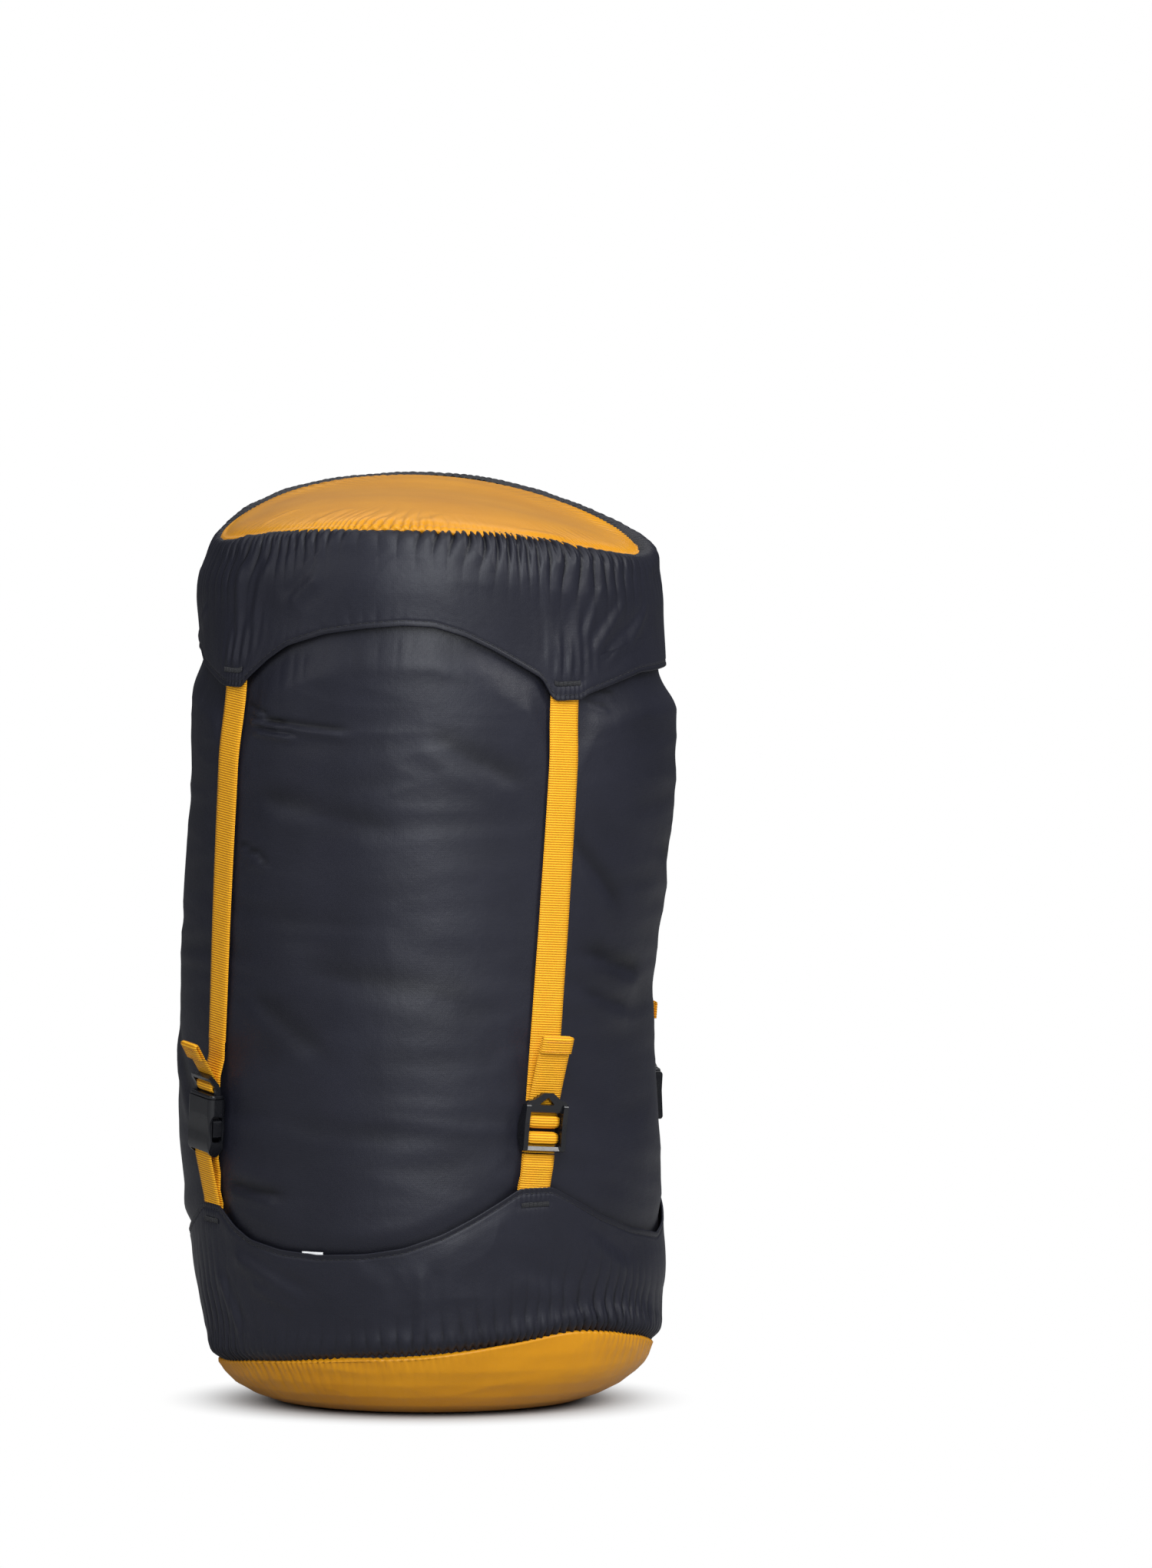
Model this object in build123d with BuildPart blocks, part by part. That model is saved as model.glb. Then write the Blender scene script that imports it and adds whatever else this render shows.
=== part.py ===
# Compression sack: a stuffed fabric tube under a scalloped lid, pulled together by four webbing straps.
# Millimetres, +Z up, origin at the middle of the flat that the sack stands on, front towards -Y.
# Two neighbouring straps have a side-release buckle and the other two a plain ladder-lock.
import os
from math import atan, cos, degrees, radians, sin, tan

from build123d import *

os.makedirs("parts", exist_ok=True)

# ---- clearances ----
LAY = 0.3  # between layers of fabric or webbing that lie on each other
RUN = 0.2  # between webbing and the bar that it turns round
FIT = 0.08  # between moulded faces that turn in each other
SLIP = 0.35  # between the plug and the inside of its socket

# ---- sack ----
FABRIC = 1.2
FOOT_REACH = 95.5  # where the line of the foot would meet the line of the side
FOOT_ROUND = 36.0
CUFF_ROUND = 60.0
BEND = 8.0  # gentle bends of the wall where a strap goes under the next layer
WALL_RADIUS = 103.0
SEAM_Z = 26.0  # sewn ring between base panel and base cuff
CUFF_OUT = 1.3  # the cuff is this much wider than the wall between the straps
CUFF_FULL_Z = 66.0  # the cuff is cylindrical from here up
CUFF_ARCH_Z = 71.0  # lowest place of the cuff's upper edge, between two straps
SHOULDER_Z = 347.0  # where the wall turns in over the contents
SHOULDER_RISE = 6.0
SHOULDER_REACH = 13.0
SHOULDER_DROP = 11.0
MOUTH_RADIUS = 35.0
MOUTH_Z = 366.0
HEM_RADIUS = 2.6  # drawcord channel round the mouth, in section
EYELET_AT = 47.0  # distance of each eyelet from the sack's axis
EYELET_RADIUS = 4.5
EYELET_BARREL = 3.0
EYELET_HOLE = 2.2
EYELET_RIM = 0.8
TAG_ANGLE = -14.5
TAG_WIDTH = 10.0
TAG_LENGTH = 14.0
TAG_SHOWS = 2.6  # above the lowest place of the cuff's edge
TAG_THICK = 0.4

# ---- lid ----
LID_DRAWN_IN = 1.7  # the skirt is this much narrower than the wall between the straps
LID_CROWN_Z = 391.6  # top of the panel, in the middle
LID_SAG = 21.0  # how much lower the lid's edge is at its sides than along its crest
LID_TURN = 13.5  # the crest runs this far round from the Y axis
LID_ROLL = 2.6  # the lid leans down to one side
LID_PITCH = 2.3  # and up to the back
PANEL_RADIUS = 91.5
LID_EDGE = 12.0  # rounding between panel and skirt
LID_ARCH_Z = (346.0, 320.0, 344.0, 326.0)  # and between them: front, right, back, left

# ---- straps ----
WEB_WIDTH = 15.0
WEB = 1.2  # webbing thickness
SLANT = 4.6  # the lid sits a little turned on the base, so the straps lean
ROOT_LENGTH = 22.0  # strap sewn in under the skirt
ANCHOR_LENGTH = 14.0  # and under the cuff
WEB_BEND = 6.0
RUN_TOP_Z = 296.0
# free ends stand off the straps by this angle, and are this long
TAIL_LEAN = {"front_left": 30.0, "front_right": 15.5, "back_right": 7.0, "back_left": 12.0}
TAIL_LENGTH = {"front_left": 16.0, "front_right": 25.0, "back_right": 25.0, "back_left": 22.0}
TAIL_HEM = 7.5  # folded and stitched end of each tail
ANCHOR_RISE = 9.0  # over this height the anchors come out to their buckles
TACK_HEIGHT = 2.6  # bar of dense stitching that holds each strap in its scallop
TACK_WIDTH = 13.0
TACK_LINE = 0.7
TACK_THICK = 0.4
TACK_IN = 5.4  # from the tip of the scallop
POINT_MARGIN = 0.6  # flat tip of each scallop, beyond the strap on either side
STRAPS = {"front_left": -45, "front_right": 45, "back_right": 135, "back_left": 225}
LID_POINT_Z = {"front_left": 316.0, "front_right": 312.0, "back_right": 312.5, "back_left": 316.0}
CUFF_POINT_Z = {"front_left": 90.0, "front_right": 101.0, "back_right": 96.0, "back_left": 94.0}
SIDE_RELEASE = ("front_left", "back_left")

# ---- ladder-lock; heights count from its lower end, depths from the wall ----
LOCK_Z = 117.4
LOCK_WIDTH = 20.4
LOCK_LENGTH = 25.5
LOCK_REACH = 2.7  # its webbing goes this much higher
LOOP_REACH = 0.8  # webbing that turns with the lock, below it
FLEX_GAP = 0.65  # short bend between that webbing and the anchor
LOCK_THICK = 2.6
LOCK_END = 2.2  # height of its lower end bar
LOCK_END_DEPTH = 5.5
LOCK_BAR = 1.15  # radius of its two round bars
LOCK_BAR_DEPTH = 3.1
ANCHOR_BAR_UP = 6.0
STRAP_BAR_UP = 12.4
GRIP_UP = 17.0
GRIP_HEIGHT = 4.6
GRIP_DEPTH = 5.2
LIP_DEPTH = 7.2
LIP_WIDTH = 13.0
TEETH = 9
TOOTH = 0.7
THUMB_WINDOW = 8.0  # triangle, this wide
THUMB_WINDOW_UP = 20.2
CHEEK_BACK = 0.8  # the sides reach this near to the wall
CHEEK_FRONT = 7.2

# ---- side-release buckle; heights count from the socket's lower end ----
SOCKET_Z = 111.4
SOCKET_LENGTH = 25.7
SOCKET_WIDTH = 21.0
SOCKET_THICK = 8.4
SOCKET_DEPTH = 4.5  # of its middle plane, from the wall
SOCKET_WALL = 1.7
SOCKET_ROUND = 2.4
SOCKET_BAR = 1.0  # radius of the bar in its webbing loop
SOCKET_BAR_UP = 1.9
SOCKET_BAR_DEPTH = 3.8
SOCKET_FLOOR = 5.0
HOOD_UP = 2.4  # the front wall covers the webbing loop down to here
HOOD_WALL = 1.1
WINDOW_LOW = 7.0
WINDOW_HIGH = 18.6
WINDOW_SLANT = 0.9
ARM_WIDTH = 2.0
ARM_THICK = 4.0
ARM_SPREAD = 6.6  # from the middle plane to each arm's root
TONGUE_WIDTH = 2.6
TONGUE_LENGTH = 14.0
PLUG_GAP = 0.3  # between the plug's shoulder and the socket's mouth
PLUG_BLOCK = 1.6  # height of the plug's shoulder
PLUG_BAR = 1.0
PLUG_BAR_UP = 4.3
PLUG_BAR_DEPTH = 4.4
PLUG_LIP_UP = 7.2
PLUG_LIP = 2.1
PLUG_LIP_DEPTH = 7.6
PLUG_RAIL = 2.2
PLUG_CORNER = 5.0  # cut off the lip's two corners
PLUG_REACH = 24.0  # its webbing goes this much higher than its lower face
PLUG_BEND_UP = 17.0

# ---- worked out ----
lid_low = min(LID_POINT_Z.values())
mid_z = (sum(LID_POINT_Z.values()) + sum(CUFF_POINT_Z.values())) / 2 / len(STRAPS)
cuff_top = max(CUFF_POINT_Z.values())
strap_room = WEB + 2 * LAY + 0.3  # between wall and cuff, and between wall and skirt
cuff_radius = WALL_RADIUS + CUFF_OUT
lid_radius = WALL_RADIUS - LID_DRAWN_IN
wall_low_radius = cuff_radius - FABRIC - strap_room
wall_top_radius = lid_radius - FABRIC - strap_room
slot = WEB_WIDTH + 1.0
front = list(STRAPS)


def swing(height):
    """How far the leaning strap lines have gone round at this height, in degrees."""
    return degrees(atan((height - mid_z) * tan(radians(SLANT)) / WALL_RADIUS))


def on_strap(angle, height):
    """Placement on one strap's line of a piece made at the front and centred at this height."""
    lean = Pos(0, 0, height) * Rot(Y=SLANT) * Pos(0, 0, -height)
    return Rot(Z=angle + swing(height)) * lean


def keep(solid, name):
    solid.label = name
    export_step(solid, f"parts/{name}.step")


def shell(points, radii):
    """Turned layer of fabric; points are (radius, height) along its middle."""
    with BuildPart() as layer:
        with BuildSketch(Plane.XZ):
            with BuildLine():
                FilletPolyline(*points, radius=radii)
            trace(line_width=FABRIC)
        revolve(axis=Axis.Z)
    return layer.part


def webbing(points, radii, foot_z=0.0, depth_from=0.0):
    """Strip of webbing seen from its side; points are (depth, height) along its middle."""
    path = [(-depth_from - depth, foot_z + height) for depth, height in points]
    with BuildPart() as strip:
        with BuildSketch(Plane.YZ):
            with BuildLine():
                if radii:
                    FilletPolyline(*path, radius=radii)
                else:
                    Line(*path)
            trace(line_width=WEB)
        extrude(amount=WEB_WIDTH / 2, both=True)
    return strip.part


def scallop(layer, radius, middle, left_z, arch_z, right_z, away_z):
    """Cut the edge of a layer into one arch, from strap to strap; away_z is on the side cut off."""
    wide = radius * sin(radians(45))
    half = radius * sin(radians(45) - (WEB_WIDTH / 2 + POINT_MARGIN) / radius)
    with BuildPart() as arch:
        with BuildSketch(Plane.XZ.rotated((0, 0, middle))):
            with BuildLine():
                ThreePointArc((-half, left_z), (0, arch_z), (half, right_z))
                Polyline(
                    (half, right_z), (wide, right_z), (wide, away_z),
                    (-wide, away_z), (-wide, left_z), (-half, left_z),
                )
            make_face()
        extrude(amount=radius + 10)
    return layer - arch.part


def band(low, high, radius=150.0):
    """Everything between two heights, to cut layers with."""
    return Pos(0, 0, (low + high) / 2) * Cylinder(radius, high - low)


# ---- base panel and base cuff: one rounded form, cut at the seam ----
half_layer = FABRIC / 2
base_form = shell(
    [
        (0, half_layer),
        (FOOT_REACH - half_layer, half_layer),
        (cuff_radius - half_layer, CUFF_FULL_Z),
        (cuff_radius - half_layer, cuff_top),
    ],
    [FOOT_ROUND - half_layer, CUFF_ROUND],
)
keep(base_form & band(-1, SEAM_Z), "base_panel")

base_cuff = base_form & band(SEAM_Z + LAY, cuff_top)
for index, name in enumerate(front):
    following = front[(index + 1) % len(front)]
    base_cuff = scallop(
        base_cuff,
        cuff_radius,
        STRAPS[name] + 45 + swing(CUFF_ARCH_Z),
        CUFF_POINT_Z[name],
        CUFF_ARCH_Z,
        CUFF_POINT_Z[following],
        cuff_top + 10,
    )
keep(base_cuff, "base_cuff")

# ---- wall: the tube of the sack, from the base seam to where it turns in under the lid ----
seam_side = (SEAM_Z / CUFF_FULL_Z) * (cuff_radius - FOOT_REACH) + FOOT_REACH
wall_foot = seam_side - FABRIC - LAY - half_layer - 1.5
sack_wall = shell(
    [
        (wall_foot, SEAM_Z + 1.5),
        (wall_low_radius - half_layer, CUFF_FULL_Z),
        (wall_low_radius - half_layer, cuff_top + 2),
        (WALL_RADIUS - half_layer, cuff_top + 12),
        (WALL_RADIUS - half_layer, RUN_TOP_Z + 2),
        (wall_top_radius - half_layer, lid_low - 2),
        (wall_top_radius - half_layer, SHOULDER_Z),
    ],
    BEND,
)
keep(sack_wall, "sack_wall")

# ---- top of the tube: gathered in over the contents to the mouth, under the lid ----
shoulder_radius = wall_top_radius - half_layer
hem_seat = HEM_RADIUS + LAY
crease = (shoulder_radius - SHOULDER_REACH, MOUTH_Z - SHOULDER_DROP + 2)
mouth_edge = (MOUTH_RADIUS + hem_seat * cos(radians(15)), MOUTH_Z - hem_seat * sin(radians(15)))
gathered_top = shell(
    [
        (shoulder_radius, SHOULDER_Z + LAY),
        (shoulder_radius, SHOULDER_Z + SHOULDER_RISE),
        crease,
        mouth_edge,
    ],
    [BEND / 2, BEND],
)
top_slope = degrees(atan((mouth_edge[1] - crease[1]) / (crease[0] - mouth_edge[0])))
eyelet_z = mouth_edge[1] - (EYELET_AT - mouth_edge[0]) * tan(radians(top_slope))
eyelets = []
for side in (0, 180):
    seat = Rot(Z=side) * Pos(0, -EYELET_AT, eyelet_z) * Rot(X=top_slope)
    gathered_top = gathered_top - seat * Cylinder(EYELET_BARREL + FIT, 4 * FABRIC)
    eyelets.append(seat)
keep(gathered_top, "gathered_top")

with BuildPart() as eyelet:
    with BuildSketch(Plane.XZ):
        with BuildLine():
            Polyline(
                (EYELET_HOLE, -half_layer - EYELET_RIM),
                (EYELET_BARREL, -half_layer - EYELET_RIM),
                (EYELET_BARREL, half_layer + FIT),
                (EYELET_RADIUS, half_layer + FIT),
                (EYELET_RADIUS, half_layer + EYELET_RIM),
                (EYELET_HOLE, half_layer + EYELET_RIM),
                close=True,
            )
        make_face()
    revolve(axis=Axis.Z)
keep(eyelets[0] * eyelet.part + eyelets[1] * eyelet.part, "mouth_eyelets")

with BuildPart() as mouth_hem:
    with BuildSketch(Plane.XZ):
        with Locations((MOUTH_RADIUS, MOUTH_Z)):
            Circle(HEM_RADIUS)
            Circle(HEM_RADIUS - FABRIC / 2, mode=Mode.SUBTRACT)
    revolve(axis=Axis.Z)
keep(mouth_hem.part, "mouth_hem")

# ---- blank care tag, sewn in under the cuff ----
with BuildPart() as care_tag:
    with BuildSketch(Plane.XZ.offset(wall_low_radius + 0.5)):
        with Locations((0, CUFF_ARCH_Z + TAG_SHOWS - TAG_LENGTH / 2)):
            RectangleRounded(TAG_WIDTH, TAG_LENGTH, 0.8)
    extrude(amount=TAG_THICK)
keep(Rot(Z=TAG_ANGLE) * care_tag.part, "care_tag")


# ---- lid: an arched panel with a rounded edge, and the skirt that hangs from it ----
def lid_form(inset):
    """Solid that fills the lid, shrunk by the inset all round."""
    radius = lid_radius - inset
    arch_radius = (lid_radius**2 + LID_SAG**2) / (2 * LID_SAG)
    with BuildPart() as form:
        with BuildSketch(Plane.XY.offset(lid_low)):
            Circle(radius)
        extrude(amount=LID_CROWN_Z + LID_SAG - lid_low)
    with BuildPart() as above:
        with BuildSketch(Plane.XZ):
            with Locations((0, -arch_radius - inset)):
                Circle(arch_radius)
        extrude(amount=lid_radius + 20, both=True)
    tilt = Pos(0, 0, LID_CROWN_Z) * Rot(Z=LID_TURN) * Rot(X=LID_PITCH) * Rot(Y=LID_ROLL)
    solid = form.part & tilt * above.part
    rim = solid.faces().sort_by(Axis.Z)[-1].edges()
    return fillet(rim, LID_EDGE - inset)


lid_layer = lid_form(0) - lid_form(FABRIC) - band(lid_low - 5, lid_low + 5, lid_radius - FABRIC)
panel_zone = Pos(0, 0, LID_CROWN_Z) * Cylinder(PANEL_RADIUS, 4 * LID_SAG)
keep(lid_layer & panel_zone, "lid_panel")

lid_skirt = lid_layer - Pos(0, 0, LID_CROWN_Z) * Cylinder(PANEL_RADIUS + LAY, 4 * LID_SAG)
for index, name in enumerate(front):
    following = front[(index + 1) % len(front)]
    lid_skirt = scallop(
        lid_skirt,
        lid_radius,
        STRAPS[name] + 45 + swing(lid_low),
        LID_POINT_Z[name],
        LID_ARCH_Z[index],
        LID_POINT_Z[following],
        lid_low - 10,
    )
keep(lid_skirt, "lid_skirt")


# ---- stitched bars that hold the straps at the tips of the scallops ----
def bar_tack(radius, low_z):
    with BuildPart() as tack:
        with BuildSketch(Plane.XZ.offset(radius + 0.05)):
            with Locations((0, low_z + TACK_HEIGHT / 2)):
                Rectangle(TACK_WIDTH, TACK_HEIGHT)
                Rectangle(TACK_WIDTH - 2 * TACK_LINE, TACK_HEIGHT - 2 * TACK_LINE, mode=Mode.SUBTRACT)
        extrude(amount=TACK_THICK)
    return tack.part


lid_tacks = Part()
base_tacks = Part()
for name, angle in STRAPS.items():
    point_z = LID_POINT_Z[name]
    lid_tacks += on_strap(angle, point_z) * bar_tack(lid_radius, point_z + TACK_IN)
    point_z = CUFF_POINT_Z[name]
    base_tacks += on_strap(angle, point_z) * bar_tack(cuff_radius, point_z - TACK_HEIGHT - TACK_IN)
keep(lid_tacks, "lid_bar_tacks")
keep(base_tacks, "base_bar_tacks")

# ---- webbing: where each layer lies, as depth from the wall ----
lower_layer = LAY + WEB / 2
root_layer = wall_top_radius - WALL_RADIUS + LAY + WEB / 2
stub_layer = wall_low_radius - WALL_RADIUS + LAY + WEB / 2
strap_root = webbing(
    [
        (root_layer, lid_low + ROOT_LENGTH),
        (root_layer, lid_low - 1),
        (lower_layer, RUN_TOP_Z + 5),
        (lower_layer, RUN_TOP_Z + LAY),
    ],
    [WEB_BEND, WEB_BEND],
    depth_from=WALL_RADIUS,
)


def tail_strips(exit_point, foot_z, lean, length):
    """Free end of a strap, from where it leaves the buckle: the plain strip, and its folded hem."""
    along = (sin(radians(lean)), cos(radians(lean)))

    def at(reach, out=0.0):
        return (
            exit_point[0] + along[0] * reach + along[1] * out,
            exit_point[1] + along[1] * reach - along[0] * out,
        )

    fold = WEB + 0.2
    strip = webbing([at(LAY), at(length - TAIL_HEM)], None, foot_z, WALL_RADIUS)
    hem = webbing(
        [
            at(length - TAIL_HEM + LAY),
            at(length - WEB / 2),
            at(length - WEB / 2, fold),
            at(length - TAIL_HEM + LAY, fold),
        ],
        [fold / 2 - 0.01, fold / 2 - 0.01],
        foot_z,
        WALL_RADIUS,
    )
    return strip, hem


# ---- ladder-lock: a bent frame with two round bars, a toothed grip and a thumb lip ----
lock_middle = Plane.XZ.offset(WALL_RADIUS)
with BuildPart() as ladder_lock:
    with BuildSketch(Plane.YZ):
        with BuildLine():
            FilletPolyline(
                (-WALL_RADIUS - LOCK_END_DEPTH, LOCK_Z),
                (-WALL_RADIUS - LOCK_BAR_DEPTH, LOCK_Z + ANCHOR_BAR_UP),
                (-WALL_RADIUS - LOCK_BAR_DEPTH, LOCK_Z + STRAP_BAR_UP),
                (-WALL_RADIUS - GRIP_DEPTH, LOCK_Z + GRIP_UP + 1.3),
                (-WALL_RADIUS - LIP_DEPTH, LOCK_Z + LOCK_LENGTH + 1),
                radius=4,
            )
        trace(line_width=LOCK_THICK)
    extrude(amount=LOCK_WIDTH / 2, both=True)
    with BuildSketch(lock_middle):
        with BuildLine():
            rise = LOCK_Z + GRIP_UP + GRIP_HEIGHT
            FilletPolyline(
                (0, LOCK_Z),
                (LOCK_WIDTH / 2, LOCK_Z),
                (LOCK_WIDTH / 2, rise),
                (LIP_WIDTH / 2, rise + 0.8),
                (2.2, LOCK_Z + LOCK_LENGTH),
                (0, LOCK_Z + LOCK_LENGTH),
                radius=[2.2, 2.6, 3.0, 1.6],
            )
            Line((0, LOCK_Z + LOCK_LENGTH), (0, LOCK_Z))
        make_face()
        mirror(about=Plane.YZ)
    extrude(amount=12, both=True, mode=Mode.INTERSECT)
    with BuildSketch(lock_middle):
        opening = GRIP_UP - LOCK_END
        with Locations((0, LOCK_Z + LOCK_END + opening / 2)):
            RectangleRounded(slot, opening, 0.8)
        with BuildLine():
            FilletPolyline(
                (-THUMB_WINDOW / 2, LOCK_Z + THUMB_WINDOW_UP),
                (THUMB_WINDOW / 2, LOCK_Z + THUMB_WINDOW_UP),
                (0, LOCK_Z + THUMB_WINDOW_UP + 0.42 * THUMB_WINDOW),
                radius=0.4,
                close=True,
            )
        make_face()
    extrude(amount=12, both=True, mode=Mode.SUBTRACT)
    with BuildSketch(Plane.YZ):
        with Locations(
            (-WALL_RADIUS - LOCK_BAR_DEPTH, LOCK_Z + ANCHOR_BAR_UP),
            (-WALL_RADIUS - LOCK_BAR_DEPTH, LOCK_Z + STRAP_BAR_UP),
        ):
            Circle(LOCK_BAR)
    extrude(amount=slot / 2 + 0.5, both=True)
    with BuildSketch(Plane.YZ.offset(slot / 2)):
        with BuildLine():
            FilletPolyline(
                (-WALL_RADIUS - LOCK_END_DEPTH + LOCK_THICK / 2, LOCK_Z),
                (-WALL_RADIUS - CHEEK_FRONT, LOCK_Z),
                (-WALL_RADIUS - CHEEK_FRONT, LOCK_Z + STRAP_BAR_UP),
                (-WALL_RADIUS - LIP_DEPTH - LOCK_THICK / 3, rise - 1),
                (-WALL_RADIUS - GRIP_DEPTH + LOCK_THICK / 3, rise - 1),
                (-WALL_RADIUS - CHEEK_BACK, LOCK_Z + STRAP_BAR_UP),
                (-WALL_RADIUS - CHEEK_BACK, LOCK_Z + ANCHOR_BAR_UP),
                radius=1.4,
                close=True,
            )
        make_face()
    extrude(amount=(LOCK_WIDTH - slot) / 2)
    mirror(about=Plane.YZ)
    grip_edge = Location((0, -WALL_RADIUS - GRIP_DEPTH + LOCK_THICK / 2 + 0.4, LOCK_Z + GRIP_UP))
    with Locations(grip_edge):
        with GridLocations(slot / (TEETH + 1), 1, TEETH, 1):
            Box(TOOTH, 2 * TOOTH + 0.6, 2 * TOOTH, rotation=(45, 0, 0), mode=Mode.SUBTRACT)

anchor_ring = LOCK_BAR + RUN + WEB / 2
anchor_top = ANCHOR_BAR_UP + anchor_ring
anchor_front = LOCK_BAR_DEPTH + anchor_ring
second_layer = lower_layer + WEB + LAY
slot_low = (LOCK_END + ANCHOR_BAR_UP - LOCK_BAR) / 2
anchor_end = LOCK_Z - LOOP_REACH - FLEX_GAP
tight = WEB  # bend of webbing pulled through a slot
lock_loop = webbing(
    [
        (lower_layer, -LOOP_REACH),
        (lower_layer, anchor_top),
        (anchor_front, anchor_top),
        (anchor_front, slot_low),
        (second_layer, slot_low),
        (second_layer, -LOOP_REACH),
    ],
    [anchor_ring - 0.01, anchor_ring - 0.01, tight, tight],
    LOCK_Z,
    WALL_RADIUS,
)
lock_path = [
    (lower_layer, LOCK_LENGTH + LOCK_REACH),
    (lower_layer, STRAP_BAR_UP - anchor_ring),
    (anchor_front, STRAP_BAR_UP - anchor_ring),
    (anchor_front, GRIP_UP - 2),
    (second_layer, GRIP_UP - 2),
    (second_layer, GRIP_UP + 0.6),
]
lock_bends = [anchor_ring - 0.01, anchor_ring - 0.01, tight, tight, 4]

# ---- side-release socket: a flattened sleeve with a window in each side and a bar below ----
socket_middle = WALL_RADIUS + SOCKET_DEPTH
half_width = SOCKET_WIDTH / 2
half_thick = SOCKET_THICK / 2
bar_height = SOCKET_Z + SOCKET_BAR_UP
bar_ring = SOCKET_BAR + RUN + WEB / 2
bar_middle = WALL_RADIUS + SOCKET_BAR_DEPTH
hood_middle = bar_middle + bar_ring + WEB / 2 + SLIP  # inner face of the hood
socket_top = SOCKET_Z + SOCKET_LENGTH
cavity_width = SOCKET_WIDTH - 2 * SOCKET_WALL
cavity_thick = ARM_THICK + 2 * SLIP
with BuildPart() as socket:
    with BuildSketch(Plane.XY.offset(SOCKET_Z)):
        with Locations((0, -socket_middle)):
            RectangleRounded(SOCKET_WIDTH, SOCKET_THICK, SOCKET_ROUND)
    extrude(amount=SOCKET_LENGTH)
    with BuildSketch(Plane.XZ.offset(socket_middle)):
        with BuildLine():
            Spline(
                (half_width, socket_top),
                (half_width, SOCKET_Z + WINDOW_HIGH),
                (half_width - 0.7, SOCKET_Z + 15),
                (half_width - 0.3, SOCKET_Z + 8),
                (half_width - 1.4, SOCKET_Z + 1.6),
                (half_width - 2.6, SOCKET_Z),
            )
            Line((half_width - 2.6, SOCKET_Z), (0, SOCKET_Z))
            Line((0, SOCKET_Z), (0, socket_top))
            Line((0, socket_top), (half_width, socket_top))
        make_face()
        mirror(about=Plane.YZ)
    extrude(amount=SOCKET_THICK, both=True, mode=Mode.INTERSECT)
    with BuildSketch(Plane.YZ):
        with BuildLine():
            Spline(
                (-socket_middle + half_thick, socket_top),
                (-socket_middle + half_thick, SOCKET_Z + WINDOW_HIGH),
                (-socket_middle + half_thick - 0.5, SOCKET_Z + 10),
                (-bar_middle + SOCKET_BAR + 0.4, bar_height),
                (-bar_middle, SOCKET_Z),
            )
            Spline(
                (-bar_middle, SOCKET_Z),
                (-hood_middle - HOOD_WALL, SOCKET_Z + HOOD_UP),
                (-socket_middle - half_thick + 0.3, SOCKET_Z + 10),
                (-socket_middle - half_thick, SOCKET_Z + WINDOW_HIGH),
                (-socket_middle - half_thick, socket_top),
            )
            Line((-socket_middle - half_thick, socket_top), (-socket_middle + half_thick, socket_top))
        make_face()
    extrude(amount=SOCKET_WIDTH, both=True, mode=Mode.INTERSECT)
    with BuildSketch(Plane.XY.offset(socket_top)):
        with Locations((0, -socket_middle)):
            RectangleRounded(cavity_width, cavity_thick, 1.0)
    extrude(amount=SOCKET_FLOOR + SOCKET_WALL - SOCKET_LENGTH, mode=Mode.SUBTRACT)
    with BuildSketch(Plane.YZ):
        with BuildLine():
            low = SOCKET_Z + WINDOW_LOW
            high = SOCKET_Z + WINDOW_HIGH
            FilletPolyline(
                (-socket_middle - cavity_thick / 2, high),
                (-socket_middle - cavity_thick / 2, low),
                (-socket_middle + cavity_thick / 2, low),
                (-socket_middle + cavity_thick / 2, high - WINDOW_SLANT),
                radius=1.2,
            )
            Line(
                (-socket_middle + cavity_thick / 2, high - WINDOW_SLANT),
                (-socket_middle - cavity_thick / 2, high),
            )
        make_face()
    extrude(amount=SOCKET_WIDTH, both=True, mode=Mode.SUBTRACT)
    with BuildSketch(Plane.YZ):
        with BuildLine():
            Polyline(
                (-WALL_RADIUS, SOCKET_Z - 1),
                (-hood_middle - SOCKET_THICK, SOCKET_Z - 1),
                (-hood_middle - SOCKET_THICK, SOCKET_Z + HOOD_UP),
                (-hood_middle, SOCKET_Z + HOOD_UP),
                (-hood_middle, SOCKET_Z + SOCKET_FLOOR),
                (-WALL_RADIUS, SOCKET_Z + SOCKET_FLOOR),
                close=True,
            )
        make_face()
    extrude(amount=slot / 2, both=True, mode=Mode.SUBTRACT)
    with BuildSketch(Plane.YZ):
        with Locations((-bar_middle, bar_height)):
            Circle(SOCKET_BAR)
    extrude(amount=slot / 2 + 0.5, both=True)

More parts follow.
